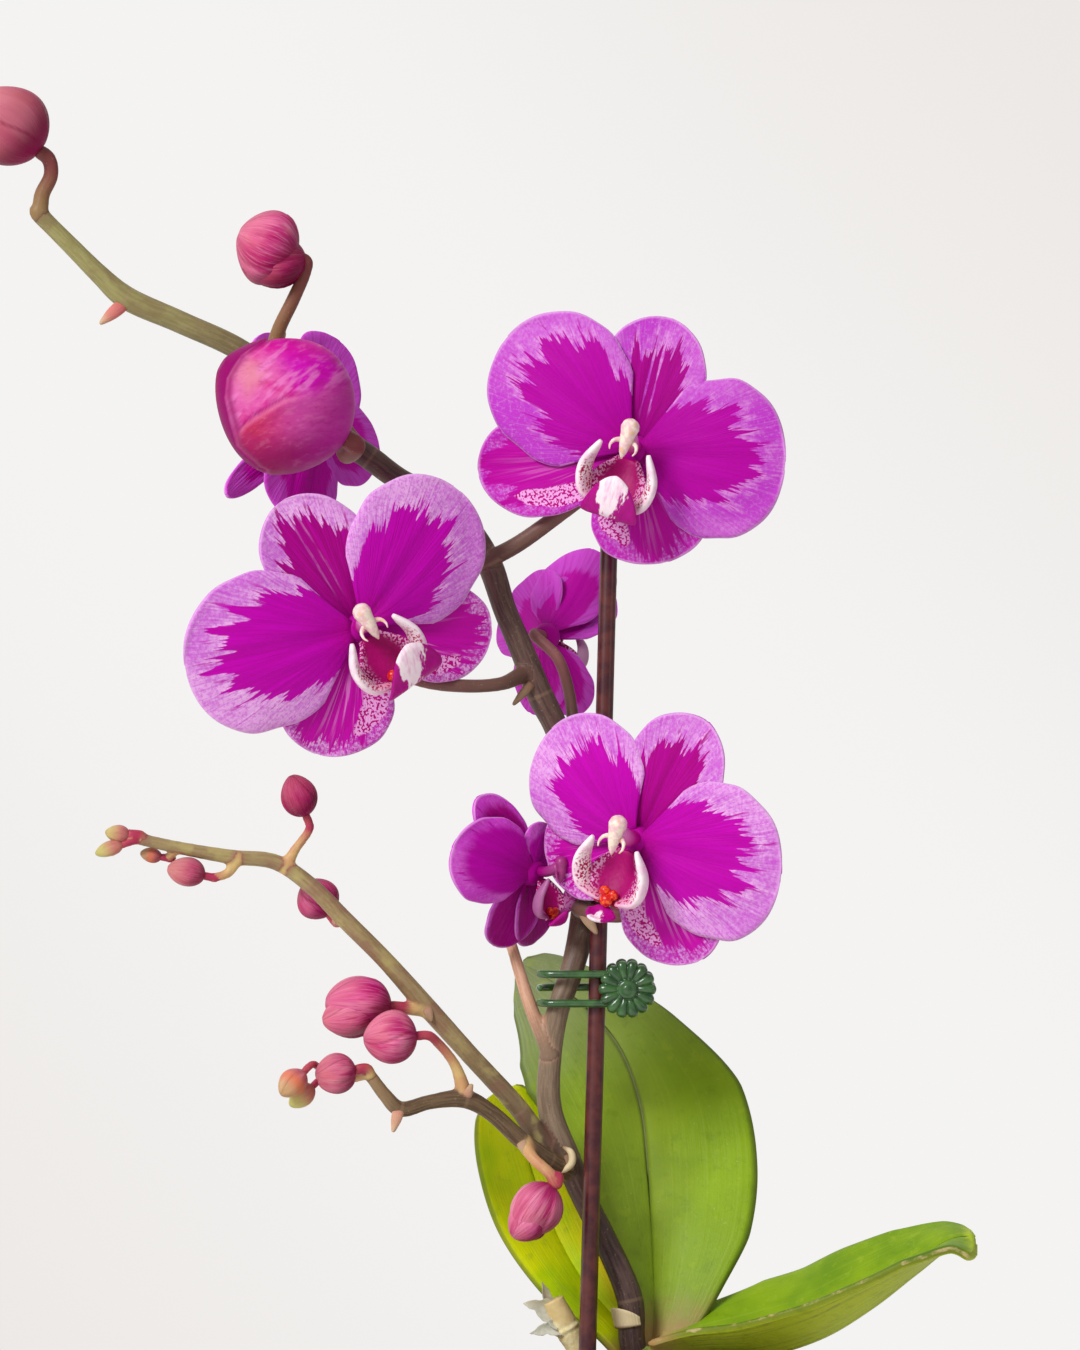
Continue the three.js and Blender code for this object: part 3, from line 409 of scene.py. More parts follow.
def skin(ring_points, fields=None):
    """A closed skin over rings, with a point in the middle of each end."""
    count, sides = ring_points.shape[:2]
    ends = [ring_points[0].mean(axis=0), ring_points[-1].mean(axis=0)]
    points = np.concatenate([ring_points.reshape(-1, 3), ends])
    faces = quads(count - 1, sides, sides)
    first, last = count * sides, count * sides + 1
    top = (count - 1) * sides
    for i in range(sides):
        j = (i + 1) % sides
        faces += [[first, j, i], [last, top + i, top + j]]
    along = np.repeat(np.linspace(0, 1, count), sides)
    turn = np.tile(np.linspace(0, 1, sides, endpoint=False), count)
    given = {"along": np.append(along, [0, 1]), "turn": np.append(turn, [0, 0])}
    for key, values in (fields or {}).items():
        spread = np.repeat(np.broadcast_to(values, count), sides)
        given[key] = np.append(spread, [spread[0], spread[-1]])
    return points, faces, given


def tube(line, radii, sides, fields=None, **turning):
    """A closed tube along a line."""
    return skin(rings(line, radii, sides, **turning), fields)


def smooth(values, count, apart=4.0):
    """count values on a smooth line through the given ones."""
    return curve(np.column_stack([np.arange(len(values)) * apart, values]), count)[:, 1]


def limb(rows, count, sides, fields=None, swell=None):
    """A round limb through rows of across, up, depth and radius."""
    radii = smooth([row[3] for row in rows], count)
    if swell is not None:
        radii = radii * swell(np.linspace(0, 1, count))
    return tube(curve(at(rows), count), radii, sides, fields)


print("helpers ready")

# %% [markdown]
# A moth orchid's flower has three sepals behind two broad petals, all from one small middle. The same
# few numbers lay out each flower as in the frame: where its middle is, which way it faces, and each
# tepal's tip and width in the flower's own plane. Only two frames of direction are needed, one for
# the tepals and one rolled with the lip.

# %% The flowers' layout
FLOWERS = {
    "flower_top": {
        "middle": (3, 262.4, -13), "face": (-15, -6), "roll": 18, "front": (1, 8, 8.6),
        "dorsal": (7, 26, 21), "petal_left": (-26.5, 22, 30), "petal_right": (30, -3.5, 32),
        "sepal_left": (-33, -4.5, 21), "sepal_right": (5, -22.5, 25),
    },
    "flower_left": {
        "middle": (-52, 226.8, -16), "face": (20, -8), "roll": -35, "front": (3.2, 8, 9.2),
        "dorsal": (-16.5, 24.8, 22), "petal_left": (-35, -8.6, 32), "petal_right": (19.5, 27.6, 29),
        "sepal_left": (-7, -25.5, 24), "sepal_right": (28.5, -1.5, 20),
    },
    "flower_low": {
        "middle": (3.4, 184.4, -17), "face": (-30, -10), "roll": 18, "front": (0.6, -1.5, 4.6),
        "dorsal": (16.5, 23.5, 21), "petal_left": (-18.5, 21.5, 27.5), "petal_right": (30.5, -7.5, 32),
        "sepal_left": (-22, -5, 19), "sepal_right": (10.5, -24.6, 23),
    },
    "flower_side": {
        "middle": (-17.4, 178, -1.4), "face": (48, -12), "roll": -6, "front": (-1, 4, 4.4),
        "dorsal": (-15.5, 14.5, 10.5), "petal_left": (-21.5, 4.2, 17.6), "petal_right": (5, 8.6, 14),
        "sepal_left": (-4, -16.2, 14.4), "sepal_right": (7.6, -16, 12), "lip": 0.68, "lean": -6,
    },
    "flower_behind": {
        "middle": (-14.6, 225, 15), "face": (156, -4), "roll": 12, "front": (0, 4, 5),
        "dorsal": (-5, 22, 17), "petal_left": (-9, 15, 16), "petal_right": (16, 12, 20),
        "sepal_left": (-3, -18, 12), "sepal_right": (9, -17, 13), "lip": 0.66, "lean": 38,
    },
    "flower_upper": {
        "middle": (-61.4, 267.6, 18), "face": (-134, -10), "roll": 30, "front": (0, 6, 7),
        "dorsal": (11, 18, 15), "petal_left": (-13.5, 18, 20), "petal_right": (23.5, -14.5, 6.5),
        "sepal_left": (-19, -6, 18), "sepal_right": (6.4, -20, 20), "lean": 10,
    },
}
CORE_BACK = 2.4  # how far behind its middle a flower reaches


def frame_of(flower):
    """place(a, b, n): right, up and forwards of the flower's middle; rolled() turns with the lip."""
    yaw, pitch, spin = np.radians([*flower["face"], flower["roll"]])
    level = math.cos(pitch)
    facing = np.array([math.sin(yaw) * level, -math.cos(yaw) * level, math.sin(pitch)])
    up = unit(np.array([0, 0, 1]) - facing * facing[2])
    right = np.cross(up, facing)
    middle = at(flower["middle"])

    def place(a, b, n):
        return reached(middle, (a, right), (b, up), (n, facing))

    def rolled(a, b, n):
        a, b = np.asarray(a, float), np.asarray(b, float)
        turned_b = b * math.cos(spin) - a * math.sin(spin)
        return place(a * math.cos(spin) + b * math.sin(spin), turned_b, n)

    return place, rolled


# %% [markdown]
# A petal widens from a narrow claw, is broadest past its middle and ends blunt. It rises a little and
# bends back, its margin waves, and a shallow groove runs up it with fine pleats to either side. For
# the markings each point also gets its reach, the share of the way from the claw to the margin, and
# its fan, the direction from the claw, because the veins and the flames of colour follow both.

# %% The tepals' surfaces
PETAL = dict(claw=0.3, swell=0.62, blunt=0.46, lift=0.7, rise=0.16, back=0.24, sides=-0.1, wave=0.5)
SEPAL = dict(claw=0.4, swell=0.7, blunt=0.5, lift=-0.9, rise=0.1, back=0.16, sides=0.06, wave=0.25)
TEPAL = {"from": 0.04, "to": 0.9995, "crowd": 2.4, "flare": 2.4, "thick": 0.8, "groove": 1.3}
TEPAL_ROWS, TEPAL_COLUMNS = 44, 40


def tepal(place, tip, form, kind, lean, number):
    """One petal or sepal, from the flower's middle to its tip, bent forwards by its lean."""
    a, b, width = tip
    length, tilt = math.hypot(a, b), math.radians(lean)
    peak = form["swell"] / (form["swell"] + form["blunt"])
    most = peak ** form["swell"] * (1 - peak) ** form["blunt"]

    def half_at(s):
        outline = s ** form["swell"] * (1 - s) ** form["blunt"] / most
        return width / 2 * outline * np.minimum(1, form["claw"] + TEPAL["flare"] * s)

    def share(row):
        return TEPAL["from"] + (TEPAL["to"] - TEPAL["from"]) * (1 - (1 - row) ** TEPAL["crowd"])

    def surface(row, t):
        s = share(row)
        half = half_at(s)
        calm = s * np.minimum(1, half / 6)
        wave = form["wave"] * np.sin(5 * s + 3.3 * t) * t**2 * calm
        frill = 0.22 * np.sin(13 * s + 9 * t + 2.1 * number) * np.abs(t) ** 3 * calm
        groove = -0.5 * bump(t * half, TEPAL["groove"]) * arch(s**0.7)
        pleat = 0.09 * np.cos(9 * math.pi * t) * arch(s) * (1 - np.abs(t))
        bend = length * (form["rise"] * s - form["back"] * s * s)
        out = length * s
        high = form["lift"] + bend + form["sides"] * half * t**2 + wave + frill + groove + pleat
        flat = out * math.cos(tilt) - high * math.sin(tilt)
        forward = out * math.sin(tilt) + high * math.cos(tilt)
        ripple = 0.016 * np.sin(10 * s + 2.2 * number + 1.5 * np.sign(t))
        ripple += 0.01 * np.sin(24 * s + number - np.sign(t))
        along, over = (a / length, b / length), half * t * (1 + ripple)
        return place(along[0] * flat + along[1] * over, along[1] * flat - along[0] * over, forward)

    row, t = grid(TEPAL_ROWS, TEPAL_COLUMNS)
    outline = share(np.linspace(0, 1, 200))
    turn = np.arctan2(half_at(outline), length * outline)[::-1]
    limit = np.hypot(half_at(outline), length * outline)[::-1]
    x, y = half_at(share(row)) * t, length * share(row)
    fan = np.arctan2(x, y)
    reach = np.hypot(x, y) / np.interp(np.abs(fan), turn, limit)
    fields = {
        "fan": fan, "reach": np.minimum(reach, 1), "kind": kind, "number": number,
        "half": half_at(share(row)),
    }
    return blade(surface, TEPAL_ROWS, TEPAL_COLUMNS, TEPAL["thick"], fields=fields)


# %% [markdown]
# The petals' colour is the plant's signature: a solid magenta heart with a ragged edge of flames, a
# mottled lilac margin and a thin pale rim. A sharp threshold on reach, raised and lowered by noise
# that changes only with direction, gives long flames that all point outwards. The sepals share the
# recipe, with a darker crimson heart: the upper one has a pale stripe, and the two lower ones are
# freckled with crimson on the side next to the lip.

# %% The tepals' finish
def tepal_finish():
    petal = Finish("tepal_skin")
    fan, reach, kind, number, front = petal.fields("fan", "reach", "kind", "number", "front")
    young, pale, tilt, across, half = petal.fields("young", "pale", "tilt", "across", "half")
    grown, full, place = 1 - young, 1 - pale, petal.place()
    sepal, lateral = kind.between(0.4, 0.6), kind.between(1.4, 1.6)

    def rays(scale, spread, detail=2.0, shift=0.0):
        """Noise that changes with direction, and slowly with reach."""
        return petal.noise((fan * scale, reach * spread, number * 3.7 + shift), 1.0, detail, 0.55)

    def flames(scale, spread, shift):
        """Narrow peaks with broad valleys between them."""
        return (1 - abs(rays(scale, spread, 1.0, shift) * 2 - 1)) ** 5

    core = abs(fan).between(0.85, 0.05)
    edge = 0.33 + core * 0.2 + rays(2.0, 0.2, 1.0, 9) * 0.2 + lateral * 0.12 + young * 0.22
    edge = edge + tilt * fan
    tongues = flames(6, 0.5, 0) * 0.17 + flames(17, 0.9, 5) * 0.11 + flames(40, 1.6, 11) * 0.06
    edge = edge + tongues * (1 - young * 0.8)
    soft = young * 0.07
    heart = (edge - reach).between(soft * -1 - 0.004, soft + 0.01)
    dashes = rays(34, 4, 2.0, 14).between(0.6, 0.64)
    heart = heart.most(dashes * (reach - edge).between(0.17, 0.03) * 0.9)
    stripe = (abs(abs(across * half) - 0.9) + rays(30, 5, shift=3) * 0.9).between(0.78, 0.5)
    heart = heart * (1 - stripe * petal.field("striped") * reach.between(0.22, 0.4))

    speck, cloud = petal.noise(place, 1.5, 3.0, 0.65), petal.noise(place, 0.3, 2.0, 0.5)
    vein = rays(64, 2.2, 2.0, 20)
    blush = petal.noise((fan * 1.3, reach, number * 2.3), 1.1, 1.0)
    pale_zone = (reach - edge).between(0.14, 0.02) * cloud.between(0.4, 0.58)
    light = blush.between(0.4, 0.62) * 0.5 + pale * 0.5
    lilac = petal.mix(light, (180, 58, 190), (222, 160, 222)).under(
        (pale_zone * 0.7 * grown * (1 - lateral * 0.6), (232, 182, 230)),
        (speck.between(0.46, 0.6) * 0.45, (188, 52, 196)),
        (speck.between(0.46, 0.34) * 0.35, (226, 172, 228)),
        (vein.between(0.52, 0.66) * 0.4, (184, 40, 190)),
        (vein.between(0.44, 0.34) * 0.2, (230, 184, 230)),
        (young * 0.6, (214, 52, 204)),
        (full * grown * 0.42, (182, 44, 184)),
        (lateral * grown * speck.between(0.36, 0.6) * 0.85, (186, 24, 168)),
    )

    streak = rays(36, 1.6, 2.0, 30).between(0.38, 0.68)
    magenta = petal.mix(streak * 0.6, (178, 0, 158), (196, 0, 182)).under(
        (reach.between(0.3, 0.05) * 0.6, (198, 0, 158)),
    )
    crimson = petal.mix(streak * 0.6, (158, 0, 122), (182, 0, 156))
    hearts = magenta.under(
        (sepal, crimson),
        (full * grown * 0.4, (150, 0, 130)),
        # painted shade: the half-opened flowers' hearts are darkened towards the middle, as in the shade of
        # their cup
        (young * reach.between(0.6, 0.15) * 0.35, (142, 0, 118)),
        (lateral * grown * (0.3 + pale * 0.15), (214, 16, 188)),
    )

    near_lip = across * petal.field("lipside")
    inner = near_lip.between(0.25, 0.7) * lateral * grown
    patch = inner * reach.between(0.2, 0.4) * reach.between(0.94, 0.76)
    patch = (patch + rays(14, 2.5, shift=40) * 0.7).between(0.72, 0.84)
    freckles = petal.noise(place, 2.1, 1.0, 0.4).between(0.44, 0.5)
    freckled = petal.mix(freckles, (176, 0, 124), (230, 162, 222))
    beams = rays(22, 1.2, 2.0, 60).between(0.53, 0.6) * near_lip.between(-0.5, 0.1) * lateral
    beams = beams * reach.between(0.25, 0.45) * (edge - reach).between(0.0, 0.3) * grown
    face = lilac.under(
        (heart, hearts),
        (beams * (0.2 + pale * 0.4), (224, 136, 212)),
        (patch, freckled),
        (reach.between(0.975, 0.996) * 0.5, (228, 176, 230)),
    )
    back = petal.mix((edge - 0.12 - reach).between(-0.05, 0.04), (204, 84, 208), (190, 0, 162))
    colour = back.under(
        (streak * 0.4, (176, 0, 152)),
        # painted light: the backs of the half-opened flowers' tepals are brightened, as if lit through the
        # petals
        (young * 0.15, (236, 30, 218)),
        (front, face),
    )
    relief = rays(70, 1.2, 2.0, 50) * 0.7 + speck * 0.3
    return petal.wear(colour, 0.5, relief, 0.2, Sheen_Weight=0.02, Specular_IOR_Level=0.07)


tepal_skin = tepal_finish()


# %% Make the tepals of every flower
YOUNG = {"flower_side": 1.0, "flower_upper": 0.6, "flower_behind": 0.8}  # how little they have opened
STRIPED = {"flower_top": 1.0, "flower_left": 0.25}  # how pale the stripes of the upper sepal are
PALE = {"flower_top": 0.1, "flower_left": 1.0, "flower_low": 1.0}  # how pale the margins are
TILTED = {"petal_left": 0.12, "petal_right": -0.07}  # how far the heart keeps to the petal's upper side
TEPALS = {"dorsal": 1.0, "sepal_left": 2.0, "sepal_right": 2.0, "petal_left": 0.0, "petal_right": 0.0}
CORE = [(-CORE_BACK, 1.5), (-1.6, 2.4), (-0.6, 2.9), (0.5, 2.7), (1.5, 2.0)]  # how far forwards, and radius


def flower_tepals(name, flower):
    """The five tepals, of kind 0 for a petal, 1 for the upper sepal and 2 for a lower one."""
    place, _ = frame_of(flower)
    spin = math.radians(flower["roll"])
    down = (-math.sin(spin), -math.cos(spin))
    parts = []
    for index, (key, kind) in enumerate(TEPALS.items()):
        tip = flower[key]
        form = PETAL if key.startswith("petal") else SEPAL
        number = index + 6 * list(FLOWERS).index(name)  # one of its own, which shifts its markings
        parts.append(mark(
            tepal(place, tip, form, kind, flower.get("lean", 0), number),
            lipside=1.0 if tip[1] * down[0] - tip[0] * down[1] > 0 else -1.0,
            young=YOUNG.get(name, 0.0),
            tilt=TILTED.get(key, 0.0),
            pale=PALE.get(name, 0.3),
            striped=STRIPED.get(name, 0.0) if key == "dorsal" else 0.0,
        ))
    middles = np.array([place(0, 0, n) for n, _ in CORE])
    radii = np.array([radius for _, radius in CORE])
    parts.append(tube(middles, radii, 20, {"reach": 0.1, "front": 1}))
    return fine(f"{name}_tepals", parts, tepal_skin)


for name, flower in FLOWERS.items():
    made = flower_tepals(name, flower)
    print(made.name, len(made.data.polygons), "faces")

# %% [markdown]
# The lip stands in front of the middle: a crimson bowl runs down from the column's foot, two white
# side lobes curl up beside it, spotted inside, a small orange callus sits between their feet, and a
# broad front is white in the middle and magenta at its ends. Each is a blade or a lump of its own.
# Their fields say what is inner face, foot and end, so one finish serves each kind.

# %% The lip's finishes
def side_lobe_finish():
    white = Finish("side_lobe")
    along, dusky = white.fields("along", "dusky")
    inner = white.field("inner").between(0.55, 0.8)
    spots = white.clouds(2.2, 1.0, 0.4).between(0.52, 0.56)
    colour = white.mix(along.between(0.6, 0.05) * 0.5, (247, 232, 238), (226, 132, 192)).under(
        (white.clouds(0.5, 2.0).between(0.45, 0.65) * 0.35, (232, 164, 206)),
        (spots * inner * along.between(0.95, 0.6), (178, 0, 88)),
        (inner * along.between(0.5, 0.0) * 0.5, (190, 20, 110)),
        # painted shade: a half-opened flower's side lobes are darkened, as in the shade of its cup
        (dusky * 0.85, (146, 26, 124)),
    )
    return white.wear(colour, 0.38, white.clouds(3.0), 0.06, Specular_IOR_Level=0.25)


def lip_front_finish():
    front = Finish("lip_front")
    along, across, dusky = front.fields("along", "across", "dusky")
    ragged = front.noise((along * 9, across * 1.4, 0.5), 1.6, 3.0, 0.6)
    patch = (abs(along * 2 - 1) + ragged * 0.75 - across * 0.14).between(0.64, 0.56)
    patch = patch * (across + ragged * 0.9).between(-0.1, 0.1)
    white = front.mix(ragged.between(0.45, 0.7) * 0.5, (248, 232, 240), (226, 140, 200))
    magenta = front.mix(ragged, (150, 0, 104), (190, 4, 150))
    # painted shade: in a half-opened flower the white patch is left out, as if in the cup's shade
    colour = magenta.under((patch * (1 - dusky), white))
    return front.wear(colour, 0.4, ragged, 0.08, Specular_IOR_Level=0.18)


def throat_finish():
    throat = Finish("throat")
    along, across = throat.fields("along", "across")
    mottle = throat.clouds(1.4, 3.0)
    dots = throat.clouds(2.2, 1.0, 0.4).between(0.5, 0.55)
    colour = throat.mix(mottle, (146, 0, 84), (178, 0, 116)).under(
        (along.between(0.75, 1.0) * 0.6, (196, 16, 60)),
        (dots * abs(across).between(0.55, 0.85) * 0.8, (232, 176, 220)),
    )
    return throat.wear(colour, 0.45, mottle, 0.1, Specular_IOR_Level=0.15)


def callus_finish():
    callus = Finish("callus")
    patches = callus.clouds(1.5, 2.0).between(0.45, 0.6)
    return callus.wear(callus.mix(patches, (206, 10, 26), (240, 96, 18)), 0.3)


side_lobe, lip_front = side_lobe_finish(), lip_front_finish()
throat, callus_skin = throat_finish(), callus_finish()


# %% Make the lips
LIP_THICK = 0.8
LIP_FOOT = 3  # how far forwards of the middle it begins, and what a small flower's shrinks towards
LOBE = [(1.4, -11.6, 6.8), (5.6, -9.6, 7.2), (7, -4.6, 8.2), (5, 1.2, 9.6)]  # its middle line
CALLUS = [(-1, -9.6, 7.6, 1.15), (1, -9.8, 7.8, 1.1), (0.1, -11, 8.6, 1.35)]  # its lumps and their radii


def flower_lip(name, flower):
    _, rolled = frame_of(flower)
    size = flower.get("lip", 1)
    swing, rise, width = flower["front"]
    # how much painted shade darkens the lip and column of a half-opened flower
    dusky = YOUNG.get(name, 0.0)

    def spot(a, b, n):
        forwards = LIP_FOOT + (np.asarray(n) - LIP_FOOT) * size
        return rolled(np.asarray(a) * size, np.asarray(b) * size, forwards)

    spine = curve(LOBE, 41)

    def swollen(most, start, blunt):
        """Half a width along the lobe, from where its outline starts to its rounded end."""
        share = np.minimum(0.999, start + (1 - start) * np.linspace(0, 1, len(spine)))
        return ((0.35 + most * arch(share, blunt)) * size)[:, None, None]

    def lobe(side):
        """A flat finger, round-edged, whose broad faces look at the column and away from it."""
        middles = spot(side * spine[:, 0], spine[:, 1], spine[:, 2])
        ahead = unit(spot(side * 0.35, 0.0, 1.0) - spot(0.0, 0.0, 0.0))
        over = unit(np.cross(unit(np.gradient(middles, axis=0)), ahead))
        wide, thick = swollen(2.2, 0.1, 0.8), swollen(0.85, 0.06, 0.6)
        angle = angles(28)[None, :, None]
        around = np.cos(angle) * wide * ahead + np.sin(angle) * thick * over[:, None]
        made = skin(middles[:, None] + around, {"dusky": dusky})
        inward = unit(spot(-side, 0.0, 0.0) - spot(0.0, 0.0, 0.0)) @ over.mean(axis=0)
        made[2]["inner"] = 0.5 + 0.5 * math.copysign(1, inward) * np.sin(2 * math.pi * made[2]["turn"])
        return made

    def front_surface(s, t):
        side = 2 * s - 1
        out = (1 + t) / 2 * (1 - 0.5 * np.abs(side) ** 3)
        full = 1 - np.abs(side) ** 1.6
        climb = rise * out**2 - 1.6 * arch(out)
        frill = 0.16 * np.sin(11 * s + 2) * out
        return spot(
            swing * out + width * side * (0.35 + 0.65 * out),
            -12 + climb * (0.15 + 0.85 * full) - 0.8 * np.abs(side),
            8 + 6 * out * (0.5 + 0.5 * full) + frill,
        )

    def bowl(s, t):
        half = 1.4 + 4.6 * arch(0.1 + 0.78 * s, 1.3)
        low = 2.9 + 1.2 * s + 3.4 * s**2
        return spot(half * t, -1.6 - 10.6 * s, low + 2.4 * t**2 * arch(s, 0.5))

    piece(f"{name}_side_lobes", [lobe(-1), lobe(1)], side_lobe, replaces=[f"{name}_lip"])
    front = blade(front_surface, 36, 16, LIP_THICK, fields={"dusky": dusky})
    piece(f"{name}_lip_front", [front], lip_front)
    piece(f"{name}_throat", [blade(bowl, 30, 24, LIP_THICK)], throat)
    lumps = []
    for a, b, n, radius in CALLUS:
        heights = np.linspace(-1, 1, 9)
        line = np.array([spot(a, b - 0.3 * h, n + 0.9 * radius * h) for h in heights])
        swell = np.sqrt(np.maximum(0.02, 1 - heights**2)) * radius * size
        lumps.append(tube(line, swell, 14))
    piece(f"{name}_callus", lumps, callus_skin)


# %% [markdown]
# The column is the pale rod in the flower's middle. It ends in a rounded cap over a small beak, with a
# tiny horn at each side. A limb with the right radii makes rod and head, and two bent thorns the
# horns. Cream turns to pink towards the foot, and the cap has a warm yellow cheek.

# %% The column
def column_finish():
    cream = Finish("column_cream")
    along, head, dusky = cream.fields("along", "head", "dusky")
    mottle = cream.clouds(0.9, 3.0)
    rod = cream.mix(along.between(0.2, 0.9), (190, 6, 140), (226, 140, 196))
    cap = cream.mix(mottle.between(0.4, 0.6) * 0.8, (240, 226, 206), (232, 178, 196)).under(
        (mottle.between(0.58, 0.7) * 0.8, (226, 190, 112)),
        # painted shade on the cap of a half-opened flower's column
        (dusky * 0.75, (190, 40, 140)),
    )
    # painted shade over the whole column of a half-opened flower
    colour = rod.under((head, cap), (dusky * 0.8, (140, 0, 108)))
    return cream.wear(colour, 0.36, mottle, 0.08, Specular_IOR_Level=0.35)


column_cream = column_finish()
ROD = [(0.9, 1.9), (1.2, 4), (2.5, 6.8), (3.8, 9.4)]  # up and forwards, as the cap too
CAP = [(7.1, 9.3), (5, 10), (2, 10.3), (-1, 10.1)]
CAP_RADII = [(0, 0.3), (0.04, 1), (0.12, 1.6), (0.3, 1.9), (0.45, 1.5), (0.6, 1.3), (0.85, 0.8), (1, 0.15)]
HORN = [(1.2, 2.6, 9.6), (2.3, 2.2, 10.4), (2.7, 1.2, 11.2), (2.4, 0.4, 11.8)]
ROD_RADII, HORN_RADII = (1.5, 1.7), (0.55, 0.12)
COLUMN_FOOT = 1.9  # how far forwards of the middle it stands, and what a small flower's shrinks towards


def flower_column(name, flower):
    _, rolled = frame_of(flower)
    size = flower.get("lip", 1)

    def line(route, count, side=0):
        """Places along a smooth route, mirrored where side is -1."""
        spots = [(side * a, b, n) for a, b, n in curve(route, count)]
        return np.array([
            rolled(a * size, b * size, COLUMN_FOOT + (n - COLUMN_FOOT) * size) for a, b, n in spots
        ])

    rod, cap = ([(0, b, n) for b, n in route] for route in (ROD, CAP))
    cap_radii = np.interp(np.linspace(0, 1, 22), *np.transpose(CAP_RADII))
    parts = [
        tube(line(rod, 14), np.linspace(*ROD_RADII, 14) * size, 18, {"head": 0}),
        tube(line(cap, 22), cap_radii * size, 20, {"head": 1}),
    ]
    for side in (-1, 1):
        parts.append(tube(line(HORN, 10, side), np.linspace(*HORN_RADII, 10) * size, 10, {"head": 1}))
    # the amount of painted shade on a half-opened flower's column
    parts = [mark(part, dusky=YOUNG.get(name, 0.0)) for part in parts]
    return fine(f"{name}_column", parts, column_cream)


for name, flower in FLOWERS.items():
    flower_lip(name, flower)
    flower_column(name, flower)
print("lips and columns", len(FLOWERS))


# %% [markdown]
# A closed bud is three fleshy sepals folded over each other, edge over edge. Seen from its side it is
# an egg with shallow bulges and three seams. The radius is worked out as a function of place along
# and turn around, and at each seam it drops by a little, as one edge does over the next. Where one
# sepal stands out from the rest, a second, smaller egg makes its bulge. Fine veins run from foot to
# tip, each bud has its own depth of rose, and the youngest are green at their tips. Light and shade
# are painted on: the side towards the window is paler, and the side away from it a deep crimson.

# %% The buds' layout: foot, tip and radius, then how magenta, green, dark, plain and pale each one is
BUDS = {
    "bud_opening": ((-54.8, 264.6, -11.2), (-80, 279.6, -17.4), 13.4, 1.0, 0.0, 0.0, 0.0, 0.0),
    "bud_upper": ((-64.8, 301, -4.6), (-76.4, 305.8, -5), 7.5, 0.6, 0.0, 0.15, 0.0, 0.2),
    "bud_end": ((-116, 322, -7), (-129.6, 333, -8.5), 7.8, 0.0, 0.0, 0.2, 1.0, 0.1),
    "bud_branch_1": ((-62.8, 189.2, -10.6), (-65.8, 197.4, -11.4), 3.6, 0.5, 0.0, 0.9, 0.5, 0.0),
    "bud_branch_2": ((-58, 169.6, -3.2), (-63, 176, -1), 4.4, 0.8, 0.0, 0.4, 0.3, 0.0),
    "bud_branch_3": ((-83, 177.2, -11.8), (-90.6, 178.8, -12.6), 3.0, 0.0, 0.15, 0.1, 0.2, 0.4),
    "bud_branch_4": ((-91.6, 181, -10.2), (-96, 181.8, -10.4), 1.5, 0.0, 0.5, 0.0, 0.6, 0.0),
    "bud_branch_5": ((-98, 185.4, -13.4), (-103, 186, -14), 1.7, 0.0, 0.8, 0.1, 0.5, 0.3),
    "bud_branch_6": ((-99.4, 183.5, -14.2), (-105, 181.6, -15.2), 1.5, 0.0, 1.0, 0.0, 0.5, 0.3),
    "bud_branch_7": ((-45.8, 151, -9.6), (-59, 152, -11.6), 6.0, 0.9, 0.0, 0.0, 0.0, 0.2),
    "bud_lower_1": ((-40.6, 145.2, -18.4), (-51.4, 144.6, -19.6), 5.4, 0.5, 0.0, 0.0, 0.0, 0.5),
    "bud_lower_2": ((-52.8, 138.4, -19.5), (-61, 137.4, -21), 3.8, 0.1, 0.0, 0.0, 0.3, 0.4),
    "bud_lower_3": ((-63.2, 138, -21.6), (-67.8, 133.4, -24.6), 2.6, 0.0, 0.5, 0.0, 0.5, 0.0),
    "bud_lower_4": ((-61.4, 135.2, -17.4), (-66, 131.2, -19.6), 2.1, 0.0, 1.0, 0.0, 0.4, 0.0),
    "bud_hanging": ((-13.6, 115.4, -12.4), (-20.6, 105.4, -11.6), 5.0, 1.0, 0.0, 0.0, 0.0, 1.0),
}
SECOND_LOBES = {  # foot, tip and radius, then how magenta, dark and pale
    "bud_branch_7": ((-48.6, 150, -11.4), (-59.6, 148.2, -12.6), 4.5, 0.3, 0.0, 0.4),
    "bud_upper": ((-62.8, 300.8, -3.6), (-75.8, 299, -6), 5.2, 0.4, 0.7, 0.0),
    "bud_lower_2": ((-53, 137.4, -19.8), (-60.4, 135.8, -21.4), 3.0, 0.1, 0.1, 0.4),
    "bud_hanging": ((-15.6, 110.4, -12.4), (-21.6, 105, -12.2), 3.9, 0.8, 0.0, 0.5),
}


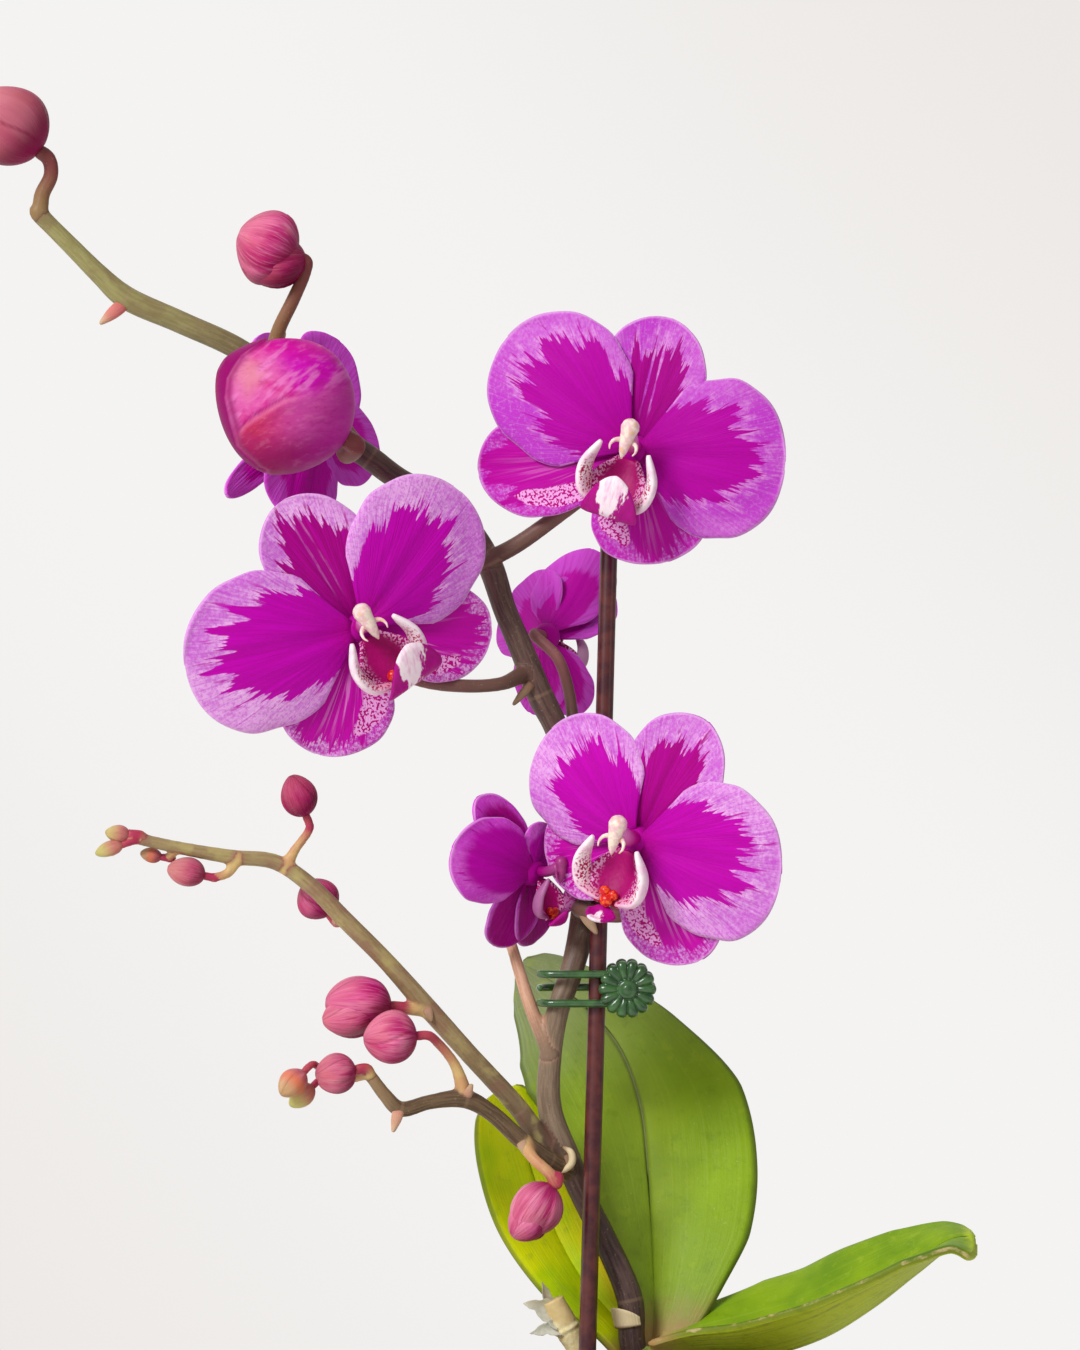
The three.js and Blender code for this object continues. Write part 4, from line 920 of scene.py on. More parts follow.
def bud_finish():
    bud = Finish("bud_skin")
    along, turn, tone, green, dark = bud.fields("along", "turn", "tone", "green", "dark")
    seam, number, plain, pale, sunny = bud.fields("seam", "number", "smooth", "pale", "sunny")
    grown, light = 1 - green, 1 - dark
    angle = turn * (2 * math.pi)
    across, over = angle.maths("COSINE", angle), angle.maths("SINE", angle)
    thin = bud.noise((across * 13, over * 13, along * 1.6 + number), 1.6, 3.0, 0.6)
    wide = bud.noise((across * 3, over * 3, along * 1.6 + number), 1.2, 2.0).between(0.4, 0.6)
    flush = bud.noise((across * 1.5, over * 1.5, along * 0.9 + number * 3), 1.1, 1.0)
    cloud = bud.clouds(0.2, 2.0)
    rose = bud.mix(wide, (180, 38, 98), (202, 74, 120))
    magenta = bud.mix(wide, (190, 0, 124), (208, 40, 144))
    lines = (1 - plain) * 0.6 + 0.1
    # painted shade, strongest on the side of a bud that faces away from the window
    shaded = sunny.between(0.15, -0.75) * (0.4 + grown * 0.6)
    rooted = (along + thin * 0.3).between(0.45, 0.15) * (0.4 + grown * 0.6)
    tip = along.between(0.25, 0.9)
    orange = abs(along - 0.5).between(0.3, 0.0) * abs(green - 0.5).between(0.2, 0.0)
    colour = rose.under(
        (tone, magenta),
        (pale * 0.7, (224, 140, 164)),
        (cloud.between(0.5, 0.62) * 0.4 * (1 - tone * 0.6), (214, 110, 104)),
        (flush.between(0.49, 0.36) * 0.8 * grown, (184, 0, 104)),
        (flush.between(0.54, 0.66) * 0.4 * light, (230, 152, 176)),
        (thin.between(0.52, 0.66) * lines * (0.7 - tone * 0.3), (232, 156, 182)),
        (thin.between(0.48, 0.34) * lines, (158, 0, 88)),
        (plain * 0.75 * grown * light, (158, 92, 98)),
        (dark * 0.6, (128, 10, 58)),
        # painted shade on the side away from the window, then a painted highlight on the side towards it
        (shaded * (0.85 - pale * 0.3), (104, 0, 50)),
        (sunny.between(0.3, 1.0) * 0.3 * light, (230, 156, 170)),
        (seam.between(0.1, 0.0) * along.between(0.0, 0.2) * 0.6, (120, 4, 52)),
        (rooted * 0.7, (150, 0, 80)),
        (tip * 0.25 * grown, (208, 104, 118)),
        (green * 0.7, (206, 136, 112)),
        (tip * green, (206, 196, 120)),
        (orange * 0.55, (224, 112, 60)),
    )
    return bud.wear(colour, 0.42, thin, 0.18, Specular_IOR_Level=0.12)


bud_skin = bud_finish()


# %% Make the closed buds
# the buds are painted lighter on the side that faces this way and darker on the other, as painted light and
# shade
PAINTED_LIGHT_WAY = unit(np.array([-0.7, -0.35, 0.75]))  # the way to the window


def egg(foot, tip, radius, rows, sides):
    """A grid of shares along and turns around an egg, with its axis and its two side directions."""
    start, end = at(foot), at(tip)
    quarter = Vector((0, 0, 1)).rotation_difference(Vector(end - start).normalized())
    side, up = (np.array(quarter @ Vector(v)) for v in ((1, 0, 0), (0, 1, 0)))
    s = 0.012 + 0.976 * (1 - np.cos(np.linspace(0, 1, rows + 1) * math.pi)) / 2
    row, turn = np.meshgrid(s, angles(sides), indexing="ij")
    swell = radius * arch(row**0.86, 0.55)

    def laid(reach):
        out = np.cos(turn)[..., None] * side + np.sin(turn)[..., None] * up
        return reached(start, (row, end - start), (reach, out))

    return row, turn, swell, laid


def bud_part(foot, tip, radius, values, number):
    """An egg of three sepals, each of whose edges laps over the next one."""
    rows, sides = (64, 84) if radius > 3 else (30, 40)
    row, turn, swell, laid = egg(foot, tip, radius, rows, sides)
    twisted = turn + 0.8 * (row - 0.5) + 1.3 * number
    lap = np.mod(3 * twisted / (2 * math.pi) + 0.5, 1)
    step = np.where(lap < 0.93, lap / 0.93, (1 - lap) / 0.07)
    belly = arch(row)
    bulge = 0.05 * np.cos(3 * twisted) + 0.09 * (step - 0.5) * belly**0.5
    bulge += 0.035 * np.sin(2 * turn + number) * belly
    bulge += 0.012 * np.sin(11 * turn + 3 * np.sin(2 * turn) + number) * bump(row - 0.15, 0.2)
    made = skin(laid(swell * (1 + bulge)), {**values, "number": number})
    made[2]["seam"] = np.append(np.minimum(lap, 1 - lap).ravel() * 2, [0.5, 0.5])
    made[2]["along"] = np.append(row.ravel(), [0, 1])
    # how far each point faces the window, for the painted light and shade
    away = unit(made[0] - (at(foot) + at(tip)) / 2)
    made[2]["sunny"] = away @ PAINTED_LIGHT_WAY
    return made


for number, (name, (foot, tip, radius, *tones)) in enumerate(BUDS.items()):
    if name == "bud_opening":
        continue
    values = dict(zip(("tone", "green", "dark", "smooth", "pale"), tones))
    parts = [bud_part(foot, tip, radius, values, number)]
    if name in SECOND_LOBES:
        *shape, tone, dark, pale = SECOND_LOBES[name]
        parts.append(bud_part(*shape, {**values, "tone": tone, "dark": dark, "pale": pale}, number + 0.5))
    fine(name, parts, bud_skin)
print("closed buds", len(BUDS) - 1)

# %% [markdown]
# The big bud is about to open, so its sepals have let go of each other. One wraps the lower half with
# its edge running across the front, another stands off at the left as a crescent, and the third
# shows between them. Each region is found from where a point lies against two lines, seen from the
# front, and is raised by the thickness of a sepal. The same distances give the edges their pale rim
# and the dark line beneath them, a painted shadow.

# %% The opening bud
SEAM = [(-16, -15), (-8.4, -6.2), (-6.8, -4.5), (1, 0), (3.8, 0.75), (12, 3.4), (16, 5)]
SEAM_END = [(-13, -3), (-12.3, -4.4), (-8.2, -8.6), (-6.2, -8.8), (6, -8)]
CRESCENT = [
    (-14, -2), (-12.3, -4.4), (-8.2, -8.7), (-3.3, -10.1), (0.7, -11.1), (4.4, -10.7), (8.9, -8), (13, -2),
]


def opening_finish():
    petal = Finish("opening_bud")
    lower, outer, rim, hollow, east, north = petal.fields("lower", "outer", "rim", "hollow", "east", "north")
    cloud = petal.clouds(0.13, 3.0, 0.55)
    veins = petal.noise((east * 0.5 + north * 0.2, north * 1.1 - east * 0.3, 0.5), 1.0, 3.0)
    # painted sheen: streaky highlights that run up to the right
    painted_sheen = petal.noise((east * 0.1 + north * 0.1, (east - north) * 0.34, 3.0), 1.0, 2.0)
    near_seam = abs(north - east * 0.4 - 2).between(5.0, 0.5)
    # a painted highlight: pale on the upper left, the side towards the window
    warm = (abs(east + 6.5) + abs(north - 5) * 0.8).between(6.5, 1.0)
    top = petal.mix(cloud.between(0.4, 0.6), (196, 24, 128), (206, 84, 158)).under(
        (warm * 0.75, (206, 128, 142)),
        # painted highlight: the far left of the top is lightened as well
        (east.between(-5.0, -11.0) * 0.5, (206, 112, 172)),
        ((east + north * 0.5).between(1.0, 7.0) * 0.95, (194, 0, 168)),
        (north.between(7.0, 11.0) * 0.7, (198, 0, 140)),
        # painted sheen, stronger near the seam
        ((painted_sheen + near_seam * 0.12).between(0.56, 0.7) * 0.6, (220, 124, 190)),
    )
    low = petal.mix(east.between(-6.0, 5.0), (184, 44, 88), (190, 66, 150)).under(
        (cloud.between(0.5, 0.65) * 0.4, (178, 44, 110)),
        (north.between(-5.0, -11.5) * 0.85, (140, 8, 88)),
    )
    left = petal.mix(east.between(-12.0, -14.0), (138, 0, 96), (150, 4, 78))
    colour = top.under(
        (lower, low),
        (outer, left),
        (veins.between(0.5, 0.7) * 0.16 * (1 - outer), (222, 140, 180)),
        (veins.between(0.48, 0.32) * 0.3, (150, 0, 96)),
        # painted shade: the right side, away from the window, is darkened
        ((east - north * 0.6).between(7.0, 15.0) * 0.5, (168, 0, 146)),
        (rim * 0.35 * (1 - outer), (222, 136, 170)),
        # painted shadow under the lifted edges
        (hollow * 0.75, (140, 0, 92)),
    )
    return petal.wear(colour, 0.46, veins, 0.1, Specular_IOR_Level=0.07)


opening_skin = opening_finish()
foot, tip, radius = BUDS["bud_opening"][:3]
row, turn, _, laid = egg(foot, tip, radius, rows=130, sides=190)
swell = radius * arch(row**0.85, 0.62)
plain = laid(swell)
middle = (at(foot) + at(tip)) / 2
east, north = plain[..., 0] - middle[0], plain[..., 2] - middle[2]
facing = np.clip((middle[1] - plain[..., 1]) / 6, -1, 1)
above = north - np.interp(east, *np.transpose(SEAM))
inside = east - np.interp(north, *np.transpose(SEAM_END))
outside = np.interp(north, *np.transpose(CRESCENT)) - east
lower_depth = np.minimum(-above, inside)


def soft_step(depth, width):
    share = np.clip(depth / width + 0.5, 0, 1)
    return share * share * (3 - 2 * share)


fading = soft_step(4 - east, 10)  # the lower sepal's edge sinks into the one behind it on the right
lower = soft_step(lower_depth, 0.6 + 5 * (1 - fading))
outer = soft_step(np.where(facing > -0.4, outside, outside + 2), 0.6)
lift = (0.15 + 0.4 * fading) * lower * (1 - outer) + 0.8 * outer
lift += 0.3 * fading * bump(lower_depth - 1.2) * (1 - outer) - 0.3
made = skin(laid(swell * (1 + 0.03 * np.sin(2 * turn + 1)) + lift * arch(row, 0.4)))
near_edge = fading * bump(lower_depth - 0.35, 0.4) * (1 - outer)
near_edge = np.maximum(near_edge, bump(outside - 0.4, 0.35))
# painted shadow: a dark line under each lifted edge and inside the crescent
gap = fading * bump(lower_depth + 0.4, 0.4) * (1 - outer) * (1 - lower)
gap = np.maximum(gap, bump(outside + 0.6, 0.8) * (1 - outer))
regions = {"lower": lower, "outer": outer, "rim": near_edge, "hollow": gap, "east": east, "north": north}
for key, values in regions.items():
    made[2][key] = np.append(values.ravel(), [values[0, 0], values[-1, 0]])
opened = fine("bud_opening", [made], opening_skin)
print("opening bud", len(opened.data.polygons), "faces")

# %% [markdown]
# The spike is one grown piece: a stem, two branches, the flower stalks and the scales at its joints.
# Limbs that only pass through each other would show hard creases at every fork. A voxel remesh of
# them all melts the forks together, as a plant's own skin does, and a little smoothing takes the
# voxels' steps away. The fields are lost in that, so each point takes them from the nearest place on
# the limbs' middle lines.

# %% The spike's layout
STEM = [
    (3.4, 80.6, 1.2, 2.6), (2.4, 84.4, 0.8, 2.7), (2, 92.4, 0.6, 2.7), (-3, 104.4, 1.2, 2.5),
    (-7, 112.4, 0.8, 2.5), (-10.4, 120.4, 0.3, 2.7), (-14, 130.4, 0, 2.5), (-14, 140.4, 0, 2.3),
    (-12.4, 150.4, -0.4, 2.3), (-9.6, 158.4, 0.8, 2.4), (-7.4, 168.4, 4.4, 2.7), (-7, 177.4, 5.6, 2.5),
    (-9, 192.4, 5, 2.5), (-12.6, 206.4, 4, 2.5), (-16, 213.4, 3.4, 2.7), (-19.6, 222.4, 3, 2.5),
    (-23, 230.4, 3, 2.4), (-26, 239.4, 3, 2.6), (-30, 246.4, 3.4, 2.4), (-36, 252.4, 4, 2.4),
    (-44, 256.4, 4, 2.4), (-50, 260.8, 3.6, 2.5), (-55, 264.4, 3, 2.5), (-64, 273.4, 2.2, 2.3),
    (-76, 282.4, 0.5, 2.3), (-88, 288, -1, 2.3), (-99, 293, -3, 2.4), (-104, 297.4, -4, 2),
    (-110, 303.4, -5, 1.8), (-116, 309.4, -6, 1.7),
]
STEM_END = [  # the rounded stub past the last bud's stalk
    (-113, 306.4, -5.5, 1.6), (-115.4, 308.8, -5.9, 1.8), (-117, 310.4, -6.2, 1.5),
    (-117.8, 311.2, -6.3, 0.5),
]
BRANCH_UPPER = [
    (-11.6, 119.4, 0, 2.1), (-14.4, 122.4, -1.4, 2.1), (-20, 130.4, -4, 2), (-30, 141.4, -7, 1.9),
    (-39, 151.4, -8, 2), (-47, 160.4, -9, 1.8), (-55, 168.4, -10, 1.8), (-62, 175.4, -10, 1.7),
    (-69, 180, -10, 1.6), (-77.6, 181, -11, 1.5), (-88, 182.8, -12, 1.3), (-97, 184.8, -13, 1.2),
]
BRANCH_LOWER = [
    (-10.8, 118.4, -0.6, 2), (-14.4, 120.4, -4.4, 1.9), (-20, 124.6, -8, 1.8), (-26, 130, -11, 1.7),
    (-31, 132.6, -13, 1.9), (-38, 132, -14.6, 1.5), (-44, 130.6, -16, 1.6), (-47, 133.4, -17, 1.4),
    (-50.4, 138, -18.4, 1.2),
]
STALKS = {
    "flower_top": [
        (-26.4, 240.4, 2, 1.8), (-20.4, 243.6, -1, 1.7), (-12, 249.6, -3, 1.6),
        (-3, 256.4, -4, 1.5),
    ],
    "flower_left": [
        (-19.6, 217.4, 1.5, 1.8), (-24, 215.6, -4, 1.4), (-31, 215.2, -5.4, 1.4), (-40, 216.4, -5.2, 1.4),
        (-50, 221, -7, 1.4),
    ],
    "flower_low": [
        (-7.6, 171, 3, 1.8), (-7.6, 170.4, -3.4, 1.8), (-3.4, 169.6, -6.8, 1.7),
        (2, 170.2, -8.4, 1.6),
    ],
    "flower_side": [
        (-14.2, 141.8, -0.5, 1.6), (-18, 151.4, 0.5, 1.4), (-21.4, 162.4, 5, 1.2),
        (-24.4, 172, 6.6, 1.2),
    ],
    "flower_behind": [
        (-11.4, 202.4, 4.6, 1.5), (-9.6, 207, 6.6, 1.3), (-10.4, 215, 7.4, 1.2),
        (-12.6, 221, 6.6, 1.2),
    ],
    "flower_upper": [(-50, 260.8, 5, 1.6), (-49.6, 259.4, 9.4, 1.4)],
    "bud_opening": [(-55, 264.2, 2, 2.1), (-54.6, 261.6, -5, 2)],
    "bud_upper": [
        (-70, 278, 0.6, 1.9), (-68.4, 286, -2, 1.5), (-65.4, 292.4, -3, 1.4),
        (-63, 298, -3.6, 1.3),
    ],
    "bud_end": [(-116, 309.4, -6, 1.7), (-115.6, 313.4, -6, 1.6), (-113.8, 317.4, -6.5, 1.5)],
    "bud_branch_1": [(-67, 178.8, -10, 1.5), (-65, 182.4, -10, 1), (-62.4, 186, -10.2, 0.9)],
    "bud_branch_2": [(-56, 169.4, -9.8, 1.2), (-56.6, 168.6, -6.4, 1.1)],
    "bud_branch_3": [(-76.4, 180.8, -11, 1.2), (-78.4, 177.8, -11.2, 1), (-81.4, 176.8, -11.6, 0.9)],
    "bud_branch_4": [(-88, 182.8, -12, 1.1), (-90, 181.2, -10.6, 0.8)],
    "bud_branch_5": [(-96.4, 184.7, -13, 1.2)],
    "bud_branch_6": [(-96.4, 184.7, -13, 1.2), (-98.2, 184, -13.9, 0.8)],
    "bud_branch_7": [(-38.6, 150.6, -8, 1.7), (-42, 150.6, -8.8, 1.3)],
    "bud_lower_1": [(-31, 133.4, -13, 1.7), (-33, 139.4, -14, 1.1), (-36.6, 144, -16.4, 1)],
    "bud_lower_2": [(-49.8, 137.2, -18.2, 1.1)],
    "bud_lower_3": [(-50.4, 138, -18.4, 1.1), (-54, 138.6, -14.8, 0.8), (-59.6, 138.8, -15.2, 0.8)],
    "bud_lower_4": [(-50.2, 137.6, -18.4, 1), (-53.6, 136.6, -14.8, 0.8), (-58, 136.4, -14.6, 0.8)],
    "bud_hanging": [
        (-19.4, 124.2, -7.6, 1.5), (-17.4, 120.8, -10.6, 1.2), (-14, 117.6, -12.6, 1.2),
        (-12.6, 115.4, -12.9, 1.1),
    ],
}
BRACTS = [  # foot, tip and width, then how rosy and how brown
    ((-11.4, 121.6, -1.6), (-9.4, 118.4, -2.6), 1.6, 0, 1),
    ((-44, 131.4, -16.4), (-45.4, 126, -17.6), 1.8, 0.4, 0),
    ((-99, 291.8, -3.8), (-104, 287.6, -5), 2.1, 1, 0),
    ((-7.6, 170.4, -4.4), (-4.6, 165.6, -7.4), 1.8, 0, 0.8),
    ((-17.6, 215.8, 0.8), (-21.4, 211.4, -1), 1.4, 0, 1),
    ((-70, 279.4, -0.6), (-67, 286, -1), 1.8, 0, 0),
    ((-31, 132.4, -13.4), (-29.6, 135.6, -14.8), 1.4, 0.3, 0.3),
    ((-39, 151.6, -8.6), (-37.6, 148.2, -10), 1.5, 0.2, 0.6),
    ((-20.4, 125.4, -8.6), (-17.6, 119.8, -9.4), 1.6, 0, 0.4),
]
SHEATH = ((2.4, 87.4, 1), (1.6, 91.6, 0.8), 3.3, -30, 62)  # foot, top, radius, its middle and its half reach
CRESCENT_SCAR = [
    (-11.4, 123, -2.6, 0.3), (-9.8, 121.9, -3.2, 0.7), (-9.6, 119.9, -3.4, 0.75), (-11, 118.5, -3.4, 0.6),
    (-13.2, 117.9, -2.8, 0.3),
]


# %% The spike's middle lines, and the limbs round them
FLOWER_ENDS, BUD_ENDS = (4, -0.6), (2.2, -0.5)  # how far behind a flower's back or a bud's foot


def stalk_line(name, rows):
    """The rows as places, with a last stretch straight up to the flower's back or the bud's foot."""
    radii = [row[3] for row in rows] + [rows[-1][3]] * 2
    if name in FLOWERS:
        place, _ = frame_of(FLOWERS[name])
        end = [place(0, 0, -CORE_BACK - behind) for behind in FLOWER_ENDS]
    else:
        foot, tip = at(BUDS[name][0]), at(BUDS[name][1])
        end = [foot - unit(tip - foot) * behind for behind in BUD_ENDS]
    return np.vstack([at(rows), end]), radii


STEM_KIND, UPPER_KIND, FLOWER_KIND, BUD_KIND, LOWER_KIND = 0.0, 1.0, 2.0, 3.0, 6.0
STALK_KINDS = {"flower_side": 5.0, "bud_upper": 4.0, "bud_end": 4.0, "bud_opening": 4.0}
KINDS = 7
BRANCH_STEPS, STALK_STEPS = 12, 10  # how many places each stretch between two rows gets
middle_lines = []
for rows, kind in ((STEM, STEM_KIND), (BRANCH_UPPER, UPPER_KIND), (BRANCH_LOWER, LOWER_KIND)):
    middle_lines.append((at(rows), [row[3] for row in rows], kind, BRANCH_STEPS))
for name, rows in STALKS.items():
    kind = STALK_KINDS.get(name, FLOWER_KIND if name in FLOWERS else BUD_KIND)
    middle_lines.append((*stalk_line(name, rows), kind, STALK_STEPS))

limbs, samples = [], []  # a sample is a place, a kind, a share, a run, a normal and a direction
for places, radii, kind, per_row in middle_lines:
    count = per_row * (len(places) - 1) + 1
    line = curve(places, count)
    limbs.append(tube(line, smooth(radii, count), 20))
    along = unit(np.gradient(line, axis=0))
    normal = unit(rings(line, 1.0, 4)[:, 0] - line)
    share, run = np.linspace(0, 1, count), np.cumsum(np.linalg.norm(np.diff(line, axis=0), axis=1))
    samples.append(np.column_stack([line, np.full(count, kind), share, np.append(0, run), normal, along]))
samples = np.vstack(samples)
print("limbs", len(limbs), "line points", len(samples))


# %% Melt them together and give the skin its fields
VOXEL, SMOOTHINGS, SOFTENINGS = 0.42, 5, 4
RING_HALF, RING_REACH = 0.45, 4.5  # a joint's ring: half its width, and how far out it is looked for
JOINTS = [STEM[k] for k in (2, 5, 10, 14, 17, 21, 26)]
JOINTS += [BRANCH_UPPER[k] for k in (2, 4, 7, 9)] + [BRANCH_LOWER[k] for k in (1, 4, 6)]


def melt(parts, voxel, rounds):
    """One smooth closed mesh from parts that pass through each other."""
    rough = placed("rough", mesh_of("rough", parts))
    grown = rough.modifiers.new("grown", "REMESH")
    grown.mode, grown.voxel_size = "VOXEL", voxel * MM
    even = rough.modifiers.new("even", "SMOOTH")
    even.factor, even.iterations = 0.5, rounds
    made = baked(rough)
    bpy.data.objects.remove(rough)
    made.shade_smooth()
    return made


limbs.append(limb(STEM_END, count=12, sides=14))
spike_mesh = melt(limbs, VOXEL, SMOOTHINGS)
spots = np.empty(len(spike_mesh.vertices) * 3)
spike_mesh.vertices.foreach_get("co", spots)
spots = spots.reshape(-1, 3) / MM
tree = kdtree.KDTree(len(samples))
for index, sample in enumerate(samples):
    tree.insert(sample[:3], index)
tree.balance()
nearest = np.array([tree.find(spot)[1] for spot in spots])
ring = np.zeros(len(spots))
for joint in at(JOINTS):
    _, index, _ = tree.find(joint)
    direction = unit(samples[min(index + 1, len(samples) - 1), :3] - samples[index - 1, :3])
    away = np.abs((spots - joint) @ direction)
    near = np.linalg.norm(spots - joint, axis=1) < RING_REACH
    ring = np.maximum(ring, bump(away, RING_HALF) * near)
ends = np.empty(len(spike_mesh.edges) * 2, np.int32)
spike_mesh.edges.foreach_get("vertices", ends)
one, other = ends.reshape(-1, 2).T
neighbours = np.maximum(1, np.bincount(ends, minlength=len(spots)))


def softened(values, rounds):
    """Values at the mesh's points, each moved towards the mean of its neighbours."""
    for _ in range(rounds):
        total = np.bincount(one, values[other], len(spots)) + np.bincount(other, values[one], len(spots))
        values = (values + total / neighbours) / 2
    return values


offset = unit(spots - samples[nearest, :3])
normal, along = samples[nearest, 6:9], samples[nearest, 9:12]
fields = {
    "share": samples[nearest, 4], "run": samples[nearest, 5], "ring": ring,
    "round_x": np.sum(offset * normal, axis=1),
    "round_y": np.sum(offset * np.cross(along, normal), axis=1),
}
for kind in range(1, KINDS):  # one field for each kind of limb, so that two kinds meet without a third
    fields[f"kind_{kind}"] = softened((samples[nearest, 3] == kind).astype(float), SOFTENINGS)
set_fields(spike_mesh, fields)
print("spike", len(spike_mesh.polygons), "faces")


# %% [markdown]
# The stem is nearly black-brown low down and turns olive towards its end. The branches are a streaky
# tan, and the stalks run from straw at the stem to rose under the bud. All of that follows the
# fields: how much of each kind of limb a place is, how far along it and where round it. Noise that is
# stretched along the limb gives the fine lengthwise streaks, and a second, rounder noise a few corky
# specks.

# %% The spike's finish
def spike_finish():
    stalk = Finish("spike_skin")
    share, joint, run, round_x, round_y = stalk.fields("share", "ring", "run", "round_x", "round_y")
    streak = stalk.noise((round_x * 3, round_y * 3, run * 0.16), 1.3, 3.0, 0.6)
    patch = stalk.clouds(0.16, 3.0)
    speck = stalk.clouds(1.8, 2.0).between(0.66, 0.72)

    def streaky(first, second):
        return stalk.mix(streak.between(0.3, 0.7), first, second)

    olive = streaky((138, 130, 80), (156, 150, 98)).under((patch.between(0.5, 0.62) * 0.35, (118, 90, 70)))
    grey = streaky((122, 102, 82), (148, 128, 106))
    stem = streaky((60, 42, 42), (92, 70, 64)).under(
        ((share + patch * 0.06).between(0.1, 0.3), streaky((76, 54, 52), (106, 82, 70))),
        (share.between(0.15, 0.19) * share.between(0.36, 0.26) * 0.85, grey),
        ((share + patch * 0.12).between(0.82, 0.96), olive),
    )
    tan = streaky((138, 116, 78), (158, 138, 98)).under(
        (share.between(0.36, 0.05), (92, 68, 58)),
        (patch.between(0.5, 0.62) * 0.7, (172, 158, 100)),
        (patch.between(0.46, 0.36) * 0.5, (132, 92, 78)),
    )
    low_tan = streaky((84, 64, 46), (116, 94, 68)).under(
        ((share + patch * 0.2).between(0.8, 1.1), (150, 122, 88)),
    )
    flower_stalk = stalk.mix((share + patch * 0.3).between(0.3, 0.9), (98, 70, 60), (138, 84, 84))
    pale_stalk = streaky((184, 134, 108), (206, 162, 134)).under(
        ((share + streak * 0.06).between(0.24, 0.02), (132, 108, 88)),
    )
    bud_stalk = stalk.mix((share + streak * 0.3).between(0.25, 0.85), (204, 174, 112), (168, 44, 78)).under(
        (patch.between(0.46, 0.6) * 0.35, (184, 88, 84)),
    )
    brown_stalk = stalk.mix((share + streak * 0.2).between(0.1, 0.8), (140, 112, 72), (124, 60, 60))
    shades = (tan, flower_stalk, bud_stalk, brown_stalk, pale_stalk, low_tan)  # kinds 1 to 6
    colour = stem.under(
        *[(stalk.field(f"kind_{kind}"), shade) for kind, shade in enumerate(shades, 1)],
        (speck * 0.25, (184, 164, 130)),
        (joint.between(0.2, 1.0) * 0.3, (160, 130, 104)),
    )
    return stalk.wear(colour, 0.46, streak * 0.8 + speck * 0.2, 0.08, Specular_IOR_Level=0.3)


dress("spike_fine", spike_mesh, spike_finish(), replaces=["spike"])


# %% [markdown]
# Each joint carries a scale: the small dry leaf that once covered the bud there. It is a cupped blade
# that hugs the stem at its foot and ends in a point, cream with a pink edge.

# %% The scales at the joints
def scale_finish():
    papery = Finish("dry_scale")
    along, across, rosy, brown, straw = papery.fields("along", "across", "rosy", "brown", "straw")
    streak = papery.noise((across * 5, along * 1.2, 0.0), 2.0, 3.0)
    colour = papery.mix(streak, (188, 150, 116), (214, 186, 150)).under(
        (along.between(0.5, 0.0) * 0.5, (172, 88, 84)),
        (abs(across).between(0.7, 1.0) * 0.5, (234, 216, 184)),
        (rosy * along.between(1.0, 0.5) * 0.75, (206, 96, 104)),
        (brown * 0.75, (112, 84, 66)),
        (straw * 0.85, (222, 206, 164)),
        (straw * along.between(0.2, 0.0) * 0.8, (120, 84, 60)),
    )
    return papery.wear(colour, 0.6, streak, 0.1, Specular_IOR_Level=0.25)


def scale(start, end, width, rosy, brown):
    start, end = at(start), at(end)
    axis = end - start
    out = np.array([0, -1.0, 0])
    over = unit(np.cross(axis, out))

    def surface(s, t):
        spread = width / 2 * arch(0.32 + 0.66 * s, 0.8) * 1.25
        cup = 0.9 * arch(s**0.8) - 0.55 * t**2 * width / 2
        curl = 0.5 * s**3
        return reached(start, (s, axis), (spread * t, over), (cup + curl, out))

    return blade(surface, 18, 12, thickness=0.5, fields={"rosy": rosy, "brown": brown})


def sheath(foot, top, radius, middle, spread):
    """A dry collar round a limb, widest on the side that middle, in degrees, points to."""
    foot, top = at(foot), at(top)
    axis = unit(top - foot)
    out = unit(np.cross(np.cross(axis, (0, -1.0, 0)), axis))
    over = np.cross(axis, out)

    def surface(s, t):
        angle = np.radians(middle + spread * t)
        tall = np.linalg.norm(top - foot) * (1 - 0.6 * np.abs(t + 0.5) ** 2.2 / 1.5**2.2)
        reach = radius * (1 + 0.05 * s**2) + 0.05 * np.sin(40 * t)
        side = np.cos(angle)[..., None] * out + np.sin(angle)[..., None] * over
        return reached(foot, (s * tall, axis), (reach, side))

    return blade(surface, 14, 40, thickness=0.4, fields={"straw": 1.0})


scales = [scale(*bract) for bract in BRACTS]
scales += [sheath(*SHEATH), limb(CRESCENT_SCAR, 30, 12, {"straw": 1.0})]
piece("spike_scales", scales, scale_finish())
print("scales and sheaths", len(scales))

# %% [markdown]
# The leaves are thick, glossy and folded along the midrib, which shows as a dark groove on the upper
# face. Each follows its midrib's places, half widths and folds from the frame, joined by smooth
# lines. Parallel veins are hardly raised, so they are mostly colour: fine stripes that run along the
# leaf, paler towards a thin cream margin.

